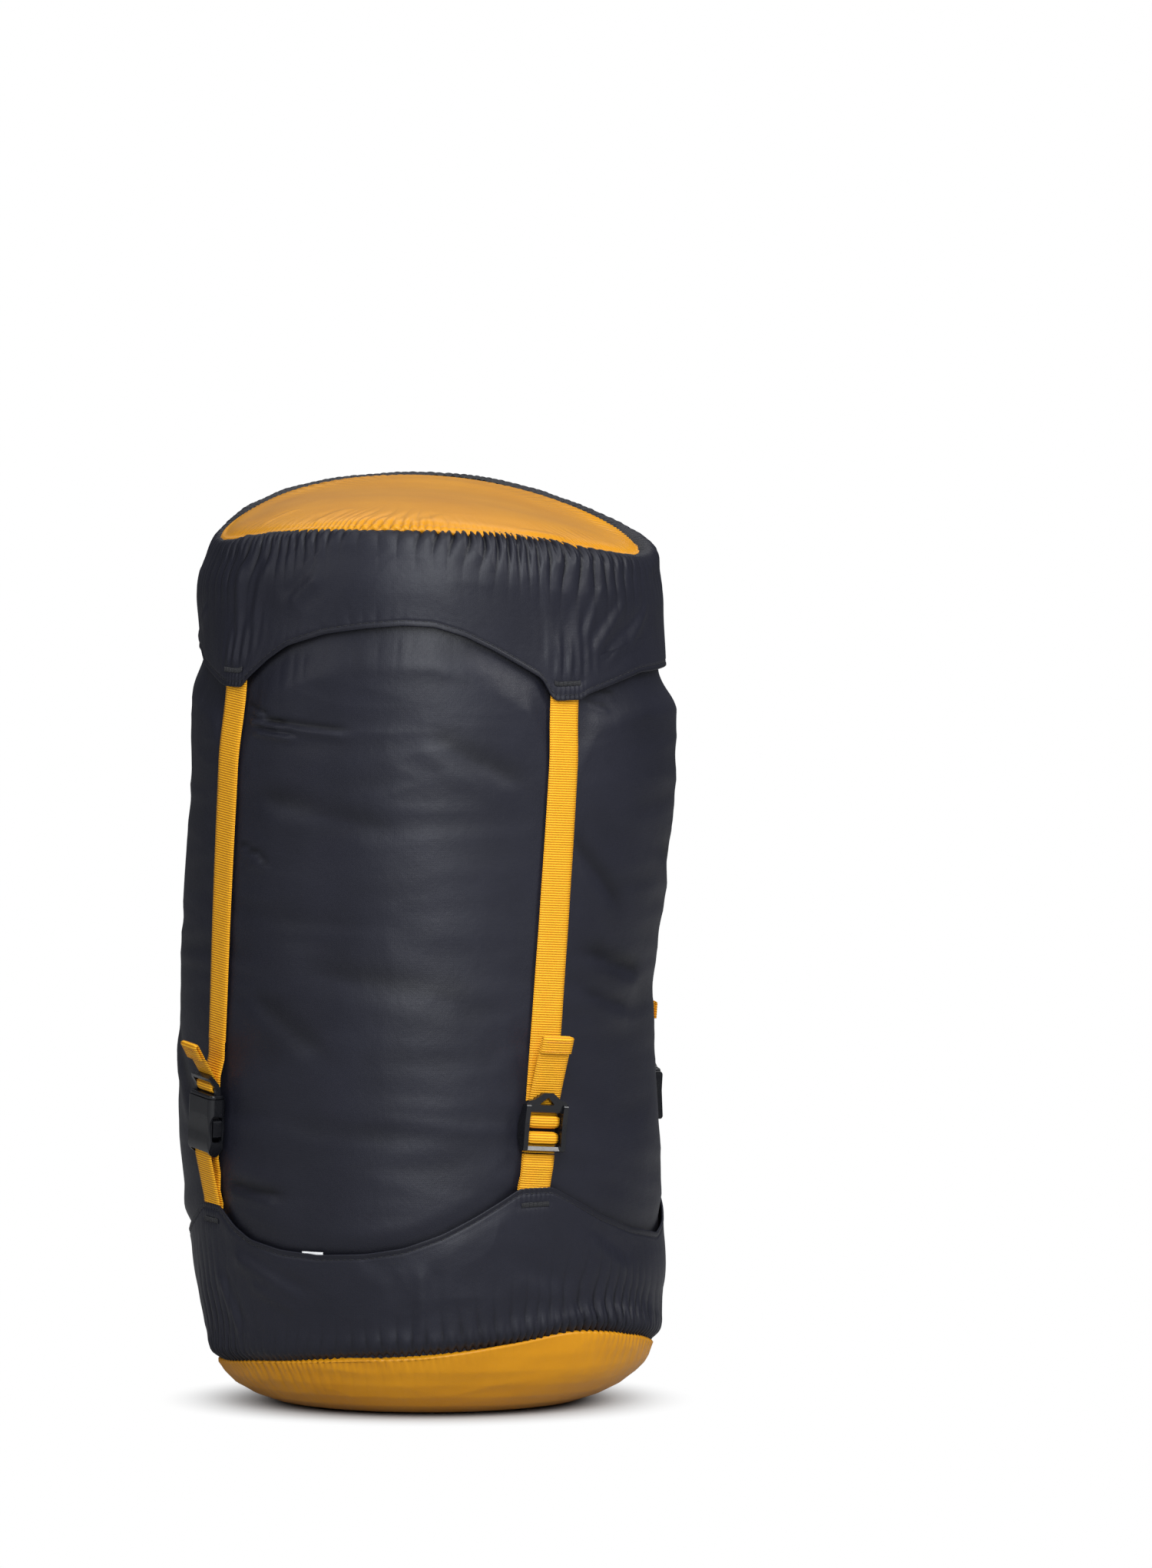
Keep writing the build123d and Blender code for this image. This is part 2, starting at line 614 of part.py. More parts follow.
# ---- side-release plug: shoulder with a middle tongue, and a small ladder-lock above ----
plug_z = socket_top + PLUG_GAP
arm_root = ARM_WIDTH / 2
with BuildPart() as plug:
    with BuildSketch(Plane.XY.offset(plug_z)):
        with Locations((0, -socket_middle)):
            RectangleRounded(SOCKET_WIDTH - 0.4, SOCKET_THICK - 1.0, SOCKET_ROUND)
    extrude(amount=PLUG_BLOCK)
    fillet(plug.faces().sort_by(Axis.Z)[-1].edges(), 0.8)
    with BuildSketch(Plane.YZ):
        with BuildLine():
            FilletPolyline(
                (-socket_middle, plug_z + PLUG_BLOCK / 2),
                (-WALL_RADIUS - PLUG_BAR_DEPTH, plug_z + PLUG_BAR_UP),
                (-WALL_RADIUS - PLUG_LIP_DEPTH, plug_z + PLUG_LIP_UP + PLUG_LIP),
                radius=6,
            )
        trace(line_width=PLUG_RAIL)
    extrude(amount=half_width - 0.4, both=True)
    with BuildSketch(Plane.XZ.offset(socket_middle)):
        opening = PLUG_LIP_UP - PLUG_BLOCK
        with Locations((0, plug_z + PLUG_BLOCK + opening / 2)):
            Rectangle(slot, opening)
        with Locations((0, plug_z + PLUG_LIP_UP + PLUG_LIP + 0.7)):
            with Locations((half_width, 0), (-half_width, 0)):
                Rectangle(PLUG_CORNER, PLUG_CORNER, rotation=45)
    extrude(amount=SOCKET_THICK, both=True, mode=Mode.SUBTRACT)
    with BuildSketch(Plane.YZ):
        with Locations((-WALL_RADIUS - PLUG_BAR_DEPTH, plug_z + PLUG_BAR_UP)):
            Circle(PLUG_BAR)
    extrude(amount=slot / 2 + 0.5, both=True)
    with BuildSketch(Plane.XZ.offset(socket_middle)):
        with Locations((0, plug_z - TONGUE_LENGTH / 2 + 0.5)):
            RectangleRounded(TONGUE_WIDTH, TONGUE_LENGTH + 1, TONGUE_WIDTH / 2 - 0.05)
    extrude(amount=ARM_THICK / 2 - 0.4, both=True)
    with BuildSketch(Plane.XZ.offset(socket_middle)):
        with Locations((ARM_SPREAD, plug_z), (-ARM_SPREAD, plug_z)):
            Circle(arm_root + FIT)
    extrude(amount=ARM_THICK / 2 + SLIP, both=True, mode=Mode.SUBTRACT)

pad_high = SOCKET_Z + WINDOW_HIGH - WINDOW_SLANT - SLIP
pad_low = SOCKET_Z + WINDOW_LOW + 2.4
with BuildPart() as arm:
    with BuildSketch(Plane.XZ.offset(socket_middle)):
        with Locations((ARM_SPREAD, plug_z)):
            Circle(arm_root)
        with BuildLine():
            inner = ARM_SPREAD - arm_root
            Polyline(
                (ARM_SPREAD + arm_root, plug_z),
                (ARM_SPREAD + arm_root + 0.3, pad_high - 0.2),
                (half_width - 0.5, pad_high - 1.0),
                (half_width - 0.2, pad_high - 1.6),
                (half_width - 0.3, pad_low),
                (half_width - SOCKET_WALL - 0.5, pad_low - 1.4),
                (inner + 1.3, pad_low - 2.2),
                (inner + 0.2, pad_low - 1.8),
                (inner, pad_low - 1.0),
                (inner, plug_z),
                close=True,
            )
        make_face()
    extrude(amount=ARM_THICK / 2, both=True)

plug_ring = PLUG_BAR + RUN + WEB / 2
plug_up = plug_z - SOCKET_Z
plug_back = PLUG_BAR_DEPTH - plug_ring
plug_front = PLUG_BAR_DEPTH + plug_ring
tail_layer = plug_back + WEB + LAY
plug_exit_up = plug_up + PLUG_LIP_UP + PLUG_LIP + 0.4
plug_path = [
    (lower_layer, plug_up + PLUG_REACH),
    (lower_layer, plug_up + PLUG_BEND_UP),
    (plug_back, plug_up + PLUG_LIP_UP + PLUG_LIP),
    (plug_back, plug_up + PLUG_BAR_UP - plug_ring),
    (plug_front, plug_up + PLUG_BAR_UP - plug_ring),
    (plug_front, plug_up + PLUG_LIP_UP - 1.1),
    (tail_layer, plug_up + PLUG_LIP_UP - 1.1),
    (tail_layer, plug_up + PLUG_LIP_UP + 0.4),
]
plug_bends = [WEB_BEND, WEB_BEND, plug_ring - 0.01, plug_ring - 0.01, 1.0, 1.0, 1.0]

# ---- every strap, from its root under the lid to its anchor under the cuff ----
bend_z = cuff_top + 0.5
for name, angle in STRAPS.items():
    point_z = CUFF_POINT_Z[name]
    slope = tan(radians(TAIL_LEAN[name]))
    keep(on_strap(angle, lid_low - 4) * strap_root, f"{name}_strap_root")
    if name in SIDE_RELEASE:
        foot_z = SOCKET_Z
        run_low = SOCKET_Z + plug_up + PLUG_REACH + LAY
        exit_point = (tail_layer + (PLUG_LIP + 0.2) * slope, plug_exit_up)
        low = on_strap(angle, SOCKET_Z + SOCKET_LENGTH / 2)
        ring_back = SOCKET_BAR_DEPTH - bar_ring
        ring_top = bar_height + bar_ring
        anchor = webbing(
            [
                (stub_layer, point_z - ANCHOR_LENGTH),
                (stub_layer, bend_z),
                (ring_back, bend_z + ANCHOR_RISE),
                (ring_back, ring_top),
                (SOCKET_BAR_DEPTH + bar_ring, ring_top),
                (SOCKET_BAR_DEPTH + bar_ring, bar_height - bar_ring - LAY),
                (stub_layer + WEB + LAY, point_z + 2),
            ],
            [WEB_BEND, 4, bar_ring - 0.01, bar_ring - 0.01, 4],
            0,
            WALL_RADIUS,
        )
        keep(low * socket.part, f"{name}_socket")
        keep(low * plug.part, f"{name}_plug")
        keep(low * arm.part, f"{name}_plug_right_arm")
        keep(low * arm.part.mirror(Plane.YZ), f"{name}_plug_left_arm")
        wrap = webbing([*plug_path, exit_point], plug_bends, SOCKET_Z, WALL_RADIUS)
    else:
        foot_z = LOCK_Z
        run_low = LOCK_Z + LOCK_LENGTH + LOCK_REACH + LAY
        exit_point = (second_layer + (LOCK_LENGTH - GRIP_UP) * slope, LOCK_LENGTH + 0.6)
        low = on_strap(angle, LOCK_Z + STRAP_BAR_UP)
        anchor = webbing(
            [
                (stub_layer, point_z - ANCHOR_LENGTH),
                (stub_layer, bend_z),
                (lower_layer, bend_z + ANCHOR_RISE),
                (lower_layer, anchor_end),
            ],
            [WEB_BEND, WEB_BEND],
            0,
            WALL_RADIUS,
        ) + webbing(
            [
                (stub_layer + WEB + LAY + 0.4, point_z + 2),
                (second_layer, bend_z + ANCHOR_RISE),
                (second_layer, anchor_end),
            ],
            [3],
            0,
            WALL_RADIUS,
        )
        keep(low * ladder_lock.part, f"{name}_ladder_lock")
        keep(low * lock_loop, f"{name}_anchor_loop")
        wrap = webbing([*lock_path, exit_point], lock_bends, LOCK_Z, WALL_RADIUS)
    keep(low * anchor, f"{name}_anchor")
    keep(low * wrap, f"{name}_strap_wrap")
    tail, tail_hem = tail_strips(exit_point, foot_z, TAIL_LEAN[name], TAIL_LENGTH[name])
    keep(low * tail, f"{name}_tail")
    keep(low * tail_hem, f"{name}_tail_hem")
    run = webbing([(lower_layer, run_low), (lower_layer, RUN_TOP_Z)], None, 0, WALL_RADIUS)
    keep(on_strap(angle, (run_low + RUN_TOP_Z) / 2) * run, f"{name}_strap_run")
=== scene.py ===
# Looks of the compression sack: sewn nylon panels with gathers and puckers, ribbed webbing, moulded
# buckles, stitching, and the pale studio that it stands in. Metres, +Z up, front towards -Y.
import math

import bmesh
import bpy
import numpy as np
from mathutils import Matrix, Vector

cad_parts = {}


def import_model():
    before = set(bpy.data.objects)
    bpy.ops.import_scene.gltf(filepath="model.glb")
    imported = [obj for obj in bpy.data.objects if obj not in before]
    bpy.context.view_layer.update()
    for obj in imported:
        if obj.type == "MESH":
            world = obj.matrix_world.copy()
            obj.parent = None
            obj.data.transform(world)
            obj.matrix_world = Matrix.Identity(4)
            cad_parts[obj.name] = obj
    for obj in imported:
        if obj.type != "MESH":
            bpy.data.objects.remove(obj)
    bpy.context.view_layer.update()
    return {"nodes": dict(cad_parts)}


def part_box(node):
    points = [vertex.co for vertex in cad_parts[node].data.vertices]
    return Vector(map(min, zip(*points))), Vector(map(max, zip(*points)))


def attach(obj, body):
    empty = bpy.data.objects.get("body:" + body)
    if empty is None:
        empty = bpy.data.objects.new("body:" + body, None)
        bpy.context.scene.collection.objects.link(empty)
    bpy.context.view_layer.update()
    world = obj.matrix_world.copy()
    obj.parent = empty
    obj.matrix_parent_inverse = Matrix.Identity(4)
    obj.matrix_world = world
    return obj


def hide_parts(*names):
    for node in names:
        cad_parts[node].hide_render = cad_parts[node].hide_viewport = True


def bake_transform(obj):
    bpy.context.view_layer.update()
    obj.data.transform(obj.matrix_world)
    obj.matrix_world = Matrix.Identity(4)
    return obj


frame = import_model()
MM = 0.001
TURN = 2 * math.pi


# ---- what the frame says about the sack ----
def centre(node):
    low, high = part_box(node)
    return (low + high) / 2


def angle_of(node):
    """Angle round the sack of a node's middle, from the front towards +X."""
    middle = centre(node)
    return math.atan2(middle.x, -middle.y)


wall_low, wall_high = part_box("sack_wall")
WALL_R = (wall_high.x - wall_low.x) / 2
STRAPS = {"front_left": -45, "front_right": 45, "back_right": 135, "back_left": 225}
SIDE_RELEASE = ("front_left", "back_left")
names = list(STRAPS)
skirt_low, skirt_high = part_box("lid_skirt")
LID_R = (skirt_high.x - skirt_low.x) / 2
LID_POINT = {"front_left": 0.316, "front_right": 0.312, "back_right": 0.3125, "back_left": 0.316}
CUFF_POINT = {"front_left": 0.090, "front_right": 0.101, "back_right": 0.096, "back_left": 0.094}
MID_Z = (sum(LID_POINT.values()) + sum(CUFF_POINT.values())) / 8
root_at, anchor_at = centre("front_right_strap_root"), centre("front_right_anchor")
lean_span = angle_of("front_right_strap_root") - angle_of("front_right_anchor")
SLANT = math.atan(WALL_R * lean_span / (root_at.z - anchor_at.z))


def swing(height):
    """How far the leaning strap lines have gone round at this height."""
    return np.arctan((np.asarray(height) - MID_Z) * math.tan(SLANT) / WALL_R)


def on_strap(name, height):
    """Placement of a piece made at the front, on one strap's line at this height."""
    turn = Matrix.Rotation(math.radians(STRAPS[name]) + float(swing(height)), 4, "Z")
    up = Matrix.Translation((0, 0, height))
    return turn @ up @ Matrix.Rotation(SLANT, 4, "Y") @ up.inverted()


# ---- camera ----
AZIMUTH, ELEVATION = math.radians(13.6), math.radians(5.0)
DISTANCE = 15.0
PICTURE_HEIGHT = 0.6804
right = Vector((math.cos(AZIMUTH), math.sin(AZIMUTH), 0))
toward = Vector(
    (math.sin(AZIMUTH) * math.cos(ELEVATION), -math.cos(AZIMUTH) * math.cos(ELEVATION), math.sin(ELEVATION))
)
upward = toward.cross(right)
aim = upward * 0.267 + right * 0.0647
camera_data = bpy.data.cameras.new("camera")
camera_data.sensor_width = 36
camera_data.lens = 36 * DISTANCE / PICTURE_HEIGHT
camera_data.clip_end = 50
camera = bpy.data.objects.new("camera", camera_data)
bpy.context.scene.collection.objects.link(camera)
camera.matrix_world = Matrix.Translation(aim + toward * DISTANCE) @ Matrix(
    (right, upward, toward)
).transposed().to_4x4()
bpy.context.scene.camera = camera


# ---- materials ----
RIB, YARN = 1.05 * MM, 0.8 * MM  # how far apart the webbing's ribs and its lengthwise yarns lie
WEAVE = 0.0008  # and the cloth's threads, taken two by two
WAVE_LENGTH = 0.314  # a wave texture of scale one repeats after this many metres
CREASE_SHADE = 0.22  # painted shade: in the depth of a crease the cloth's darker colour is darkened to this much of itself


def linear(r, g, b):
    """A colour named as it is on a screen, made linear."""
    return tuple((c / 12.92 if c <= 0.04045 else ((c + 0.055) / 1.055) ** 2.4) for c in (r, g, b)) + (1,)


def fresh(name):
    material = bpy.data.materials.new(name)
    material.use_nodes = True
    tree = material.node_tree
    shader = tree.nodes["Principled BSDF"]
    return material, tree, shader


def settle(node, **values):
    """Sets properties or inputs of a shader node; an input's spaces are written as underscores."""
    for key, value in values.items():
        if hasattr(node, key):
            setattr(node, key, value)
        else:
            node.inputs[key.replace("_", " ")].default_value = value
    return node


def add(tree, kind, **values):
    """A new shader node with these settings."""
    return settle(tree.nodes.new(kind), **values)


def speckle(tree, scale, detail, roughness=0.5):
    """Noise on the piece's own coordinates, in metres."""
    coords = tree.nodes.get("Texture Coordinate") or add(tree, "ShaderNodeTexCoord")
    noise = add(tree, "ShaderNodeTexNoise", Scale=scale, Detail=detail, Roughness=roughness)
    tree.links.new(coords.outputs["Object"], noise.inputs["Vector"])
    return noise.outputs["Fac"]


def bands(tree, direction, pitch, wander, detail=2.0):
    """Lines this far apart along one way of the cloth's own map, which counts metres."""
    coords = tree.nodes.get("Texture Coordinate") or add(tree, "ShaderNodeTexCoord")
    wave = add(tree, "ShaderNodeTexWave", wave_type="BANDS", bands_direction=direction)
    settle(wave, Scale=WAVE_LENGTH / pitch, Distortion=wander, Detail=detail)
    tree.links.new(coords.outputs["UV"], wave.inputs["Vector"])
    return wave.outputs["Fac"]


def fitted(tree, source, **ends):
    """A value moved to another range; the ends are From_Min, From_Max, To_Min and To_Max."""
    node = add(tree, "ShaderNodeMapRange", **ends)
    tree.links.new(source, node.inputs["Value"])
    return node.outputs["Result"]


def shaded(tree, share, low, high):
    """A colour between two; each is a colour or another node's output."""
    mix = add(tree, "ShaderNodeMix", data_type="RGBA")
    tree.links.new(share, mix.inputs[0])
    for socket, value in ((6, low), (7, high)):
        if isinstance(value, tuple):
            mix.inputs[socket].default_value = value
        else:
            tree.links.new(value, mix.inputs[socket])
    return mix.outputs[2]


def worked(tree, operation, a, b, c=None):
    """A sum or product of node outputs and plain numbers."""
    node = add(tree, "ShaderNodeMath", operation=operation)
    for socket, value in zip(node.inputs, (a, b, c)):
        if isinstance(value, float):
            socket.default_value = value
        elif value is not None:
            tree.links.new(value, socket)
    return node.outputs[0]


def bumped(tree, height, strength, distance, under=None):
    """Normals raised by a height, over another bump if there is one."""
    node = add(tree, "ShaderNodeBump", Strength=strength, Distance=distance)
    tree.links.new(height, node.inputs["Height"])
    if under is not None:
        tree.links.new(under, node.inputs["Normal"])
    return node.outputs["Normal"]


def cloth_material(name, colour, dark, rough, sheen, shine=0.3):
    """Thin woven nylon: a soft sheen, a fine weave, colour that varies a little over it, and painted shade in
    its creases, along its seams and under its hems.
    """
    material, tree, shader = fresh(name)
    link = tree.links.new
    patches = fitted(tree, speckle(tree, 28.0, 3.0, 0.55), From_Min=0.25, From_Max=0.75)
    # Painted shade: a per-point attribute darkens the colour in creases, along seams and under hems, down to
    # CREASE_SHADE of the darker colour.
    crease = add(tree, "ShaderNodeAttribute", attribute_name="painted_shade").outputs["Fac"]
    crease_shade_colour = tuple(c * CREASE_SHADE for c in dark[:3]) + (1,)
    base = shaded(tree, patches, dark, colour)
    link(shaded(tree, crease, base, crease_shade_colour), shader.inputs["Base Color"])
    yarn_rough = fitted(tree, speckle(tree, 900.0, 2.0, 0.6), To_Min=rough - 0.06, To_Max=rough + 0.06)
    link(yarn_rough, shader.inputs["Roughness"])
    warp, weft = (bands(tree, direction, WEAVE, 0.6, 1.0) for direction in ("X", "Y"))
    woven = bumped(tree, worked(tree, "MULTIPLY", warp, weft), 0.12, 0.0001)
    crinkled = bumped(tree, speckle(tree, 190.0, 5.0, 0.65), 0.35, 0.0005, under=woven)
    link(crinkled, shader.inputs["Normal"])
    settle(shader, Sheen_Weight=sheen, Sheen_Roughness=0.35, Specular_IOR_Level=shine)
    return material


def webbing_material(name, colour, dark):
    """Ribbed nylon tape; its own UV map counts metres along it, so the ribs follow every bend."""
    material, tree, shader = fresh(name)
    link = tree.links.new
    ribs = bands(tree, "Y", RIB, 0.5, 1.0)
    yarns = bands(tree, "X", YARN, 0.8)
    weave = worked(tree, "MULTIPLY_ADD", yarns, 0.18, ribs)
    wear = fitted(tree, speckle(tree, 120.0, 4.0), To_Min=0.40, To_Max=0.56)
    # Partly the tape's own weave pattern and random tone, partly painted shade: the colour darkens in the
    # grooves between the ribs.
    light = fitted(tree, worked(tree, "MULTIPLY", weave, wear), From_Min=0.02, From_Max=0.5)
    link(shaded(tree, light, dark, colour), shader.inputs["Base Color"])
    link(bumped(tree, weave, 0.8, 0.0003), shader.inputs["Normal"])
    settle(shader, Roughness=0.55, Specular_IOR_Level=0.2)
    return material


def plastic_material(name, colour, rough):
    """Moulded plastic with a faintly grained face and small dull scuffs."""
    material, tree, shader = fresh(name)
    link = tree.links.new
    scuffed = fitted(tree, speckle(tree, 260.0, 5.0, 0.7), To_Min=rough - 0.08, To_Max=rough + 0.16)
    link(scuffed, shader.inputs["Roughness"])
    link(bumped(tree, speckle(tree, 2200.0, 2.0), 0.12, 0.0001), shader.inputs["Normal"])
    settle(shader, Base_Color=colour)
    return material


def thread_material(name, colour):
    """Twisted thread."""
    material, tree, shader = fresh(name)
    coords = add(tree, "ShaderNodeTexCoord")
    twist = add(tree, "ShaderNodeTexWave", wave_type="BANDS", bands_direction="DIAGONAL", Scale=900.0)
    tree.links.new(coords.outputs["Object"], twist.inputs["Vector"])
    tree.links.new(bumped(tree, twist.outputs["Fac"], 0.5, 0.0001), shader.inputs["Normal"])
    settle(shader, Base_Color=colour, Roughness=0.6)
    return material


BLACK_CLOTH = cloth_material(
    "black_nylon", (0.0125, 0.0129, 0.0210, 1), (0.0090, 0.0093, 0.0155, 1), rough=0.47, sheen=0.0, shine=0.29
)
OCHRE_CLOTH = cloth_material(
    "ochre_nylon", linear(0.82, 0.56, 0.06), linear(0.77, 0.51, 0.04), rough=0.42, sheen=0.03
)
TAPE = webbing_material("ochre_tape", linear(1.0, 0.73, 0.15), linear(0.72, 0.45, 0.05))
PLASTIC = plastic_material("black_plastic", (0.006, 0.0063, 0.008, 1), 0.2)
THREAD = thread_material("black_thread_twist", (0.012, 0.012, 0.014, 1))
OCHRE_THREAD = thread_material("ochre_thread_twist", linear(0.72, 0.47, 0.12))
TAG_CLOTH = cloth_material(
    "tag_satin", linear(0.93, 0.93, 0.92), linear(0.86, 0.86, 0.86), rough=0.5, sheen=0.1
)
EYELET = plastic_material("eyelet_enamel", (0.02, 0.02, 0.022, 1), 0.28)


# ---- meshes of soft pieces ----
def make(name, points, faces, material, uvs=None):
    """A smooth-shaded mesh object; uvs has one place for each point."""
    mesh = bpy.data.meshes.new(name)
    mesh.from_pydata(points.tolist(), [], faces if isinstance(faces, list) else faces.tolist())
    if uvs is not None:
        layer = mesh.uv_layers.new(name="UVMap")
        loops = np.zeros(len(mesh.loops), np.int32)
        mesh.loops.foreach_get("vertex_index", loops)
        layer.data.foreach_set("uv", uvs[loops].astype(np.float32).ravel())
    mesh.materials.append(material)
    mesh.polygons.foreach_set("use_smooth", np.ones(len(mesh.polygons), bool))
    mesh.update()
    piece = bpy.data.objects.new(name, mesh)
    bpy.context.scene.collection.objects.link(piece)
    return piece


def paint_shade(piece, painted_shade, first=0):
    """Stores painted shade for each point, from nought to one, which darkens the cloth's colour in creases,
    along seams and under hems.
    """
    values = np.zeros(len(piece.data.vertices), np.float32)
    values[first : first + painted_shade.size] = np.clip(painted_shade, 0, 1).ravel()
    piece.data.attributes.new("painted_shade", "FLOAT", "POINT").data.foreach_set("value", values)


def grid_faces(rows, columns, wrap=True, flip=False):
    """Quads of a grid; its columns close round when wrap is set."""
    i, j = np.meshgrid(np.arange(rows - 1), np.arange(columns if wrap else columns - 1), indexing="ij")
    k = (j + 1) % columns
    low, high = i * columns, (i + 1) * columns
    quads = np.stack([low + j, low + k, high + k, high + j], -1).reshape(-1, 4)
    return quads[:, ::-1] if flip else quads


def field(shape, seed, long_u, long_v):
    """Smooth random field, periodic round the sack, with features of this many columns and rows."""
    noise = np.random.default_rng(seed).standard_normal(shape)
    fv = np.fft.fftfreq(shape[0])[:, None]
    fu = np.fft.fftfreq(shape[1])[None, :]
    keep = np.exp(-4 * ((fu * long_u) ** 2 + (fv * long_v) ** 2))
    softened = np.fft.ifft2(np.fft.fft2(noise) * keep).real
    return softened / softened.std()


def unit(vectors):
    return vectors / np.linalg.norm(vectors, axis=-1, keepdims=True)


def run_of(line):
    """How far along a line of points each of them lies."""
    return np.concatenate([[0], np.cumsum(np.linalg.norm(np.diff(line, axis=0), axis=1))])


def placed(line, run, at):
    """Points at these distances along a line."""
    return np.stack([np.interp(at, run, line[:, k]) for k in range(3)], -1)


def around(theta, middle):
    """Signed angle from middle, between half a turn each way."""
    return (theta - middle + math.pi) % TURN - math.pi


def along_ring(theta, stops):
    """Smooth closed curve round the sack through (degrees, value) stops."""
    at = np.radians([s[0] for s in stops])
    value = np.array([s[1] for s in stops], float)
    order = np.argsort(at % TURN)
    at, value = (at % TURN)[order], value[order]
    at = np.concatenate([at[-2:] - TURN, at, at[:2] + TURN])
    value = np.concatenate([value[-2:], value, value[:2]])
    t = np.asarray(theta) % TURN
    i = np.clip(np.searchsorted(at, t) - 1, 1, len(at) - 3)
    f = (t - at[i]) / (at[i + 1] - at[i])
    before, here, there, after = value[i - 1], value[i], value[i + 1], value[i + 2]
    m0 = (there - before) / (at[i + 1] - at[i - 1]) * (at[i + 1] - at[i])
    m1 = (after - here) / (at[i + 2] - at[i]) * (at[i + 1] - at[i])
    return (
        (2 * f**3 - 3 * f**2 + 1) * here
        + (f**3 - 2 * f**2 + f) * m0
        + (3 * f**2 - 2 * f**3) * there
        + (f**3 - f**2) * m1
    )


def edge_line(theta, stops, ease=1.2):
    """Closed line round the sack through (degrees, millimetres) stops: straight runs with eased corners."""
    fine = np.arange(2880) / 8.0
    line = np.interp(fine, [a for a, _ in stops], [b for _, b in stops], period=360)
    weight = np.exp(-((np.arange(-24, 25) / 8.0 / ease) ** 2))
    line = np.convolve(np.concatenate([line[-24:], line, line[:24]]), weight / weight.sum(), "valid")
    return np.interp(np.degrees(theta), fine, line, period=360) * MM


def strap_gap(theta, z):
    """Distance round the wall from the nearest strap's line."""
    gaps = [np.abs(around(theta, math.radians(a) + swing(z))) * WALL_R for a in STRAPS.values()]
    return np.min(gaps, axis=0)


def smooth(x, low, high):
    """From nought at low to one at high, with an eased start and end."""
    t = np.clip((x - low) / (high - low), 0, 1)
    return t * t * (3 - 2 * t)


PLEAT_MEAN = 0.62  # the mean height of pleats(), taken off where they are to rise and fall about nought


def pleats(theta, reach, count, seed, sharp=0.7):
    """Gathers that run away from a seam: crowded next to it, fewer and softer further away."""
    wander = field(theta.shape, seed, theta.shape[1] / 30, theta.shape[0] / 2)
    fine = np.abs(np.cos((count * theta + 3.0 * wander) / 2)) ** sharp
    coarse = np.abs(np.cos((count * theta / 2 + 2.2 * wander) / 2)) ** sharp
    share = np.clip(reach, 0, 1)
    uneven = field(theta.shape, seed + 100, theta.shape[1] / 16, 2 * theta.shape[0])
    amount = np.clip(0.85 + 0.5 * uneven, 0.1, 2)
    return PLEAT_MEAN + (fine * (1 - share) + coarse * share - PLEAT_MEAN) * amount


def seam_gathers(theta, away, strength, reach, count, seed, fall=1.3):
    """Gathers about nought, in millimetres, that die out over their reach from a seam."""
    fade = np.exp(-((away / reach) ** fall))
    return strength * fade * (pleats(theta, away / reach, count, seed) - PLEAT_MEAN)


def ridge(distance, width, at=0.0):
    """A rounded ridge of height one along the line where distance is at."""
    return np.exp(-(((distance - at) / width) ** 2))


def sewn_hem(s, gap, pucker, length):
    """A scalloped edge in millimetres: its stitch line, its rolled lip, and the stitched box at each tip."""
    tip = np.exp(-((gap / 8.0) ** 4))
    box_line = -0.5 * ridge(s, 1.5, 6.7) * tip
    gathered = pucker * tip * ridge(s, length) * np.cos(gap * TURN / 2.3)
    return box_line + gathered - 0.35 * ridge(s, 0.5, 1.9) + 0.15 * ridge(s, 1.5)


def folded(relief, across, up, creases):
    """Relief with these creases added."""
    for start, end, width, height in creases:
        relief = relief + fold(across, up, start, end, width, height)
    return relief


def fold(x, z, start, end, width, height, lean=0.6):
    """One crease from start to end in the plane of the unrolled cloth: a soft ridge beside a valley."""
    ax, az = start
    bx, bz = end
    dx, dz = bx - ax, bz - az
    length = math.hypot(dx, dz)
    ux, uz = dx / length, dz / length
    t = ((x - ax) * ux + (z - az) * uz) / length
    across = ((x - ax) * -uz + (z - az) * ux) / width
    fade = np.exp(-(np.clip(np.abs(t - 0.5) - 0.28, 0, None) / 0.16) ** 2)
    return height * fade * (np.exp(-(across**2)) - lean * np.exp(-((across - 1.5) ** 2)))


# ---- the stuffed shape that all the cloth follows ----
BODY = {  # how far the cloth swells past the straps' line, midway between two straps, by height
    "front": [(0.10, 2.2), (0.16, 2.6), (0.22, 2.2), (0.28, 1.8), (0.32, 1.2)],
    "right": [
        (0.094, -1.5), (0.114, -1.8), (0.134, -3.4), (0.154, -5.4), (0.174, -6.2), (0.194, -4.0),
        (0.214, -0.8), (0.235, 2.0), (0.255, 4.4), (0.275, 6.2), (0.305, 5.6), (0.32, 4.0),
    ],
    "back": [(0.10, 1.5), (0.20, 2.0), (0.30, 1.5)],
    "left": [
        (0.094, 3.4), (0.114, 5.8), (0.124, 6.6), (0.134, 6.4), (0.154, 5.4), (0.174, 4.6), (0.194, 4.4),
        (0.214, 3.2), (0.235, 2.0), (0.255, 0.4), (0.275, -0.9), (0.305, -1.4), (0.32, -2.0),
    ],
}
CUFF_SIDE = {  # the same for the base
    "front": [(0.0, 0.0), (0.07, 0.4)],
    "right": [(0.004, 0.0), (0.018, 4.0), (0.035, 3.4), (0.055, 0.6), (0.08, -2.4)],
    "back": [(0.0, 0.0)],
    "left": [(0.0, 0.0), (0.018, -5.0), (0.035, -4.6), (0.055, -2.8), (0.08, -1.0)],
}
SKIRT_SIDE = {"front": 0.8, "right": 1.6, "back": 0.5, "left": -3.2}  # and for the lid's skirt
LOBES = (("front", 0), ("right", 90), ("back", 180), ("left", 270))
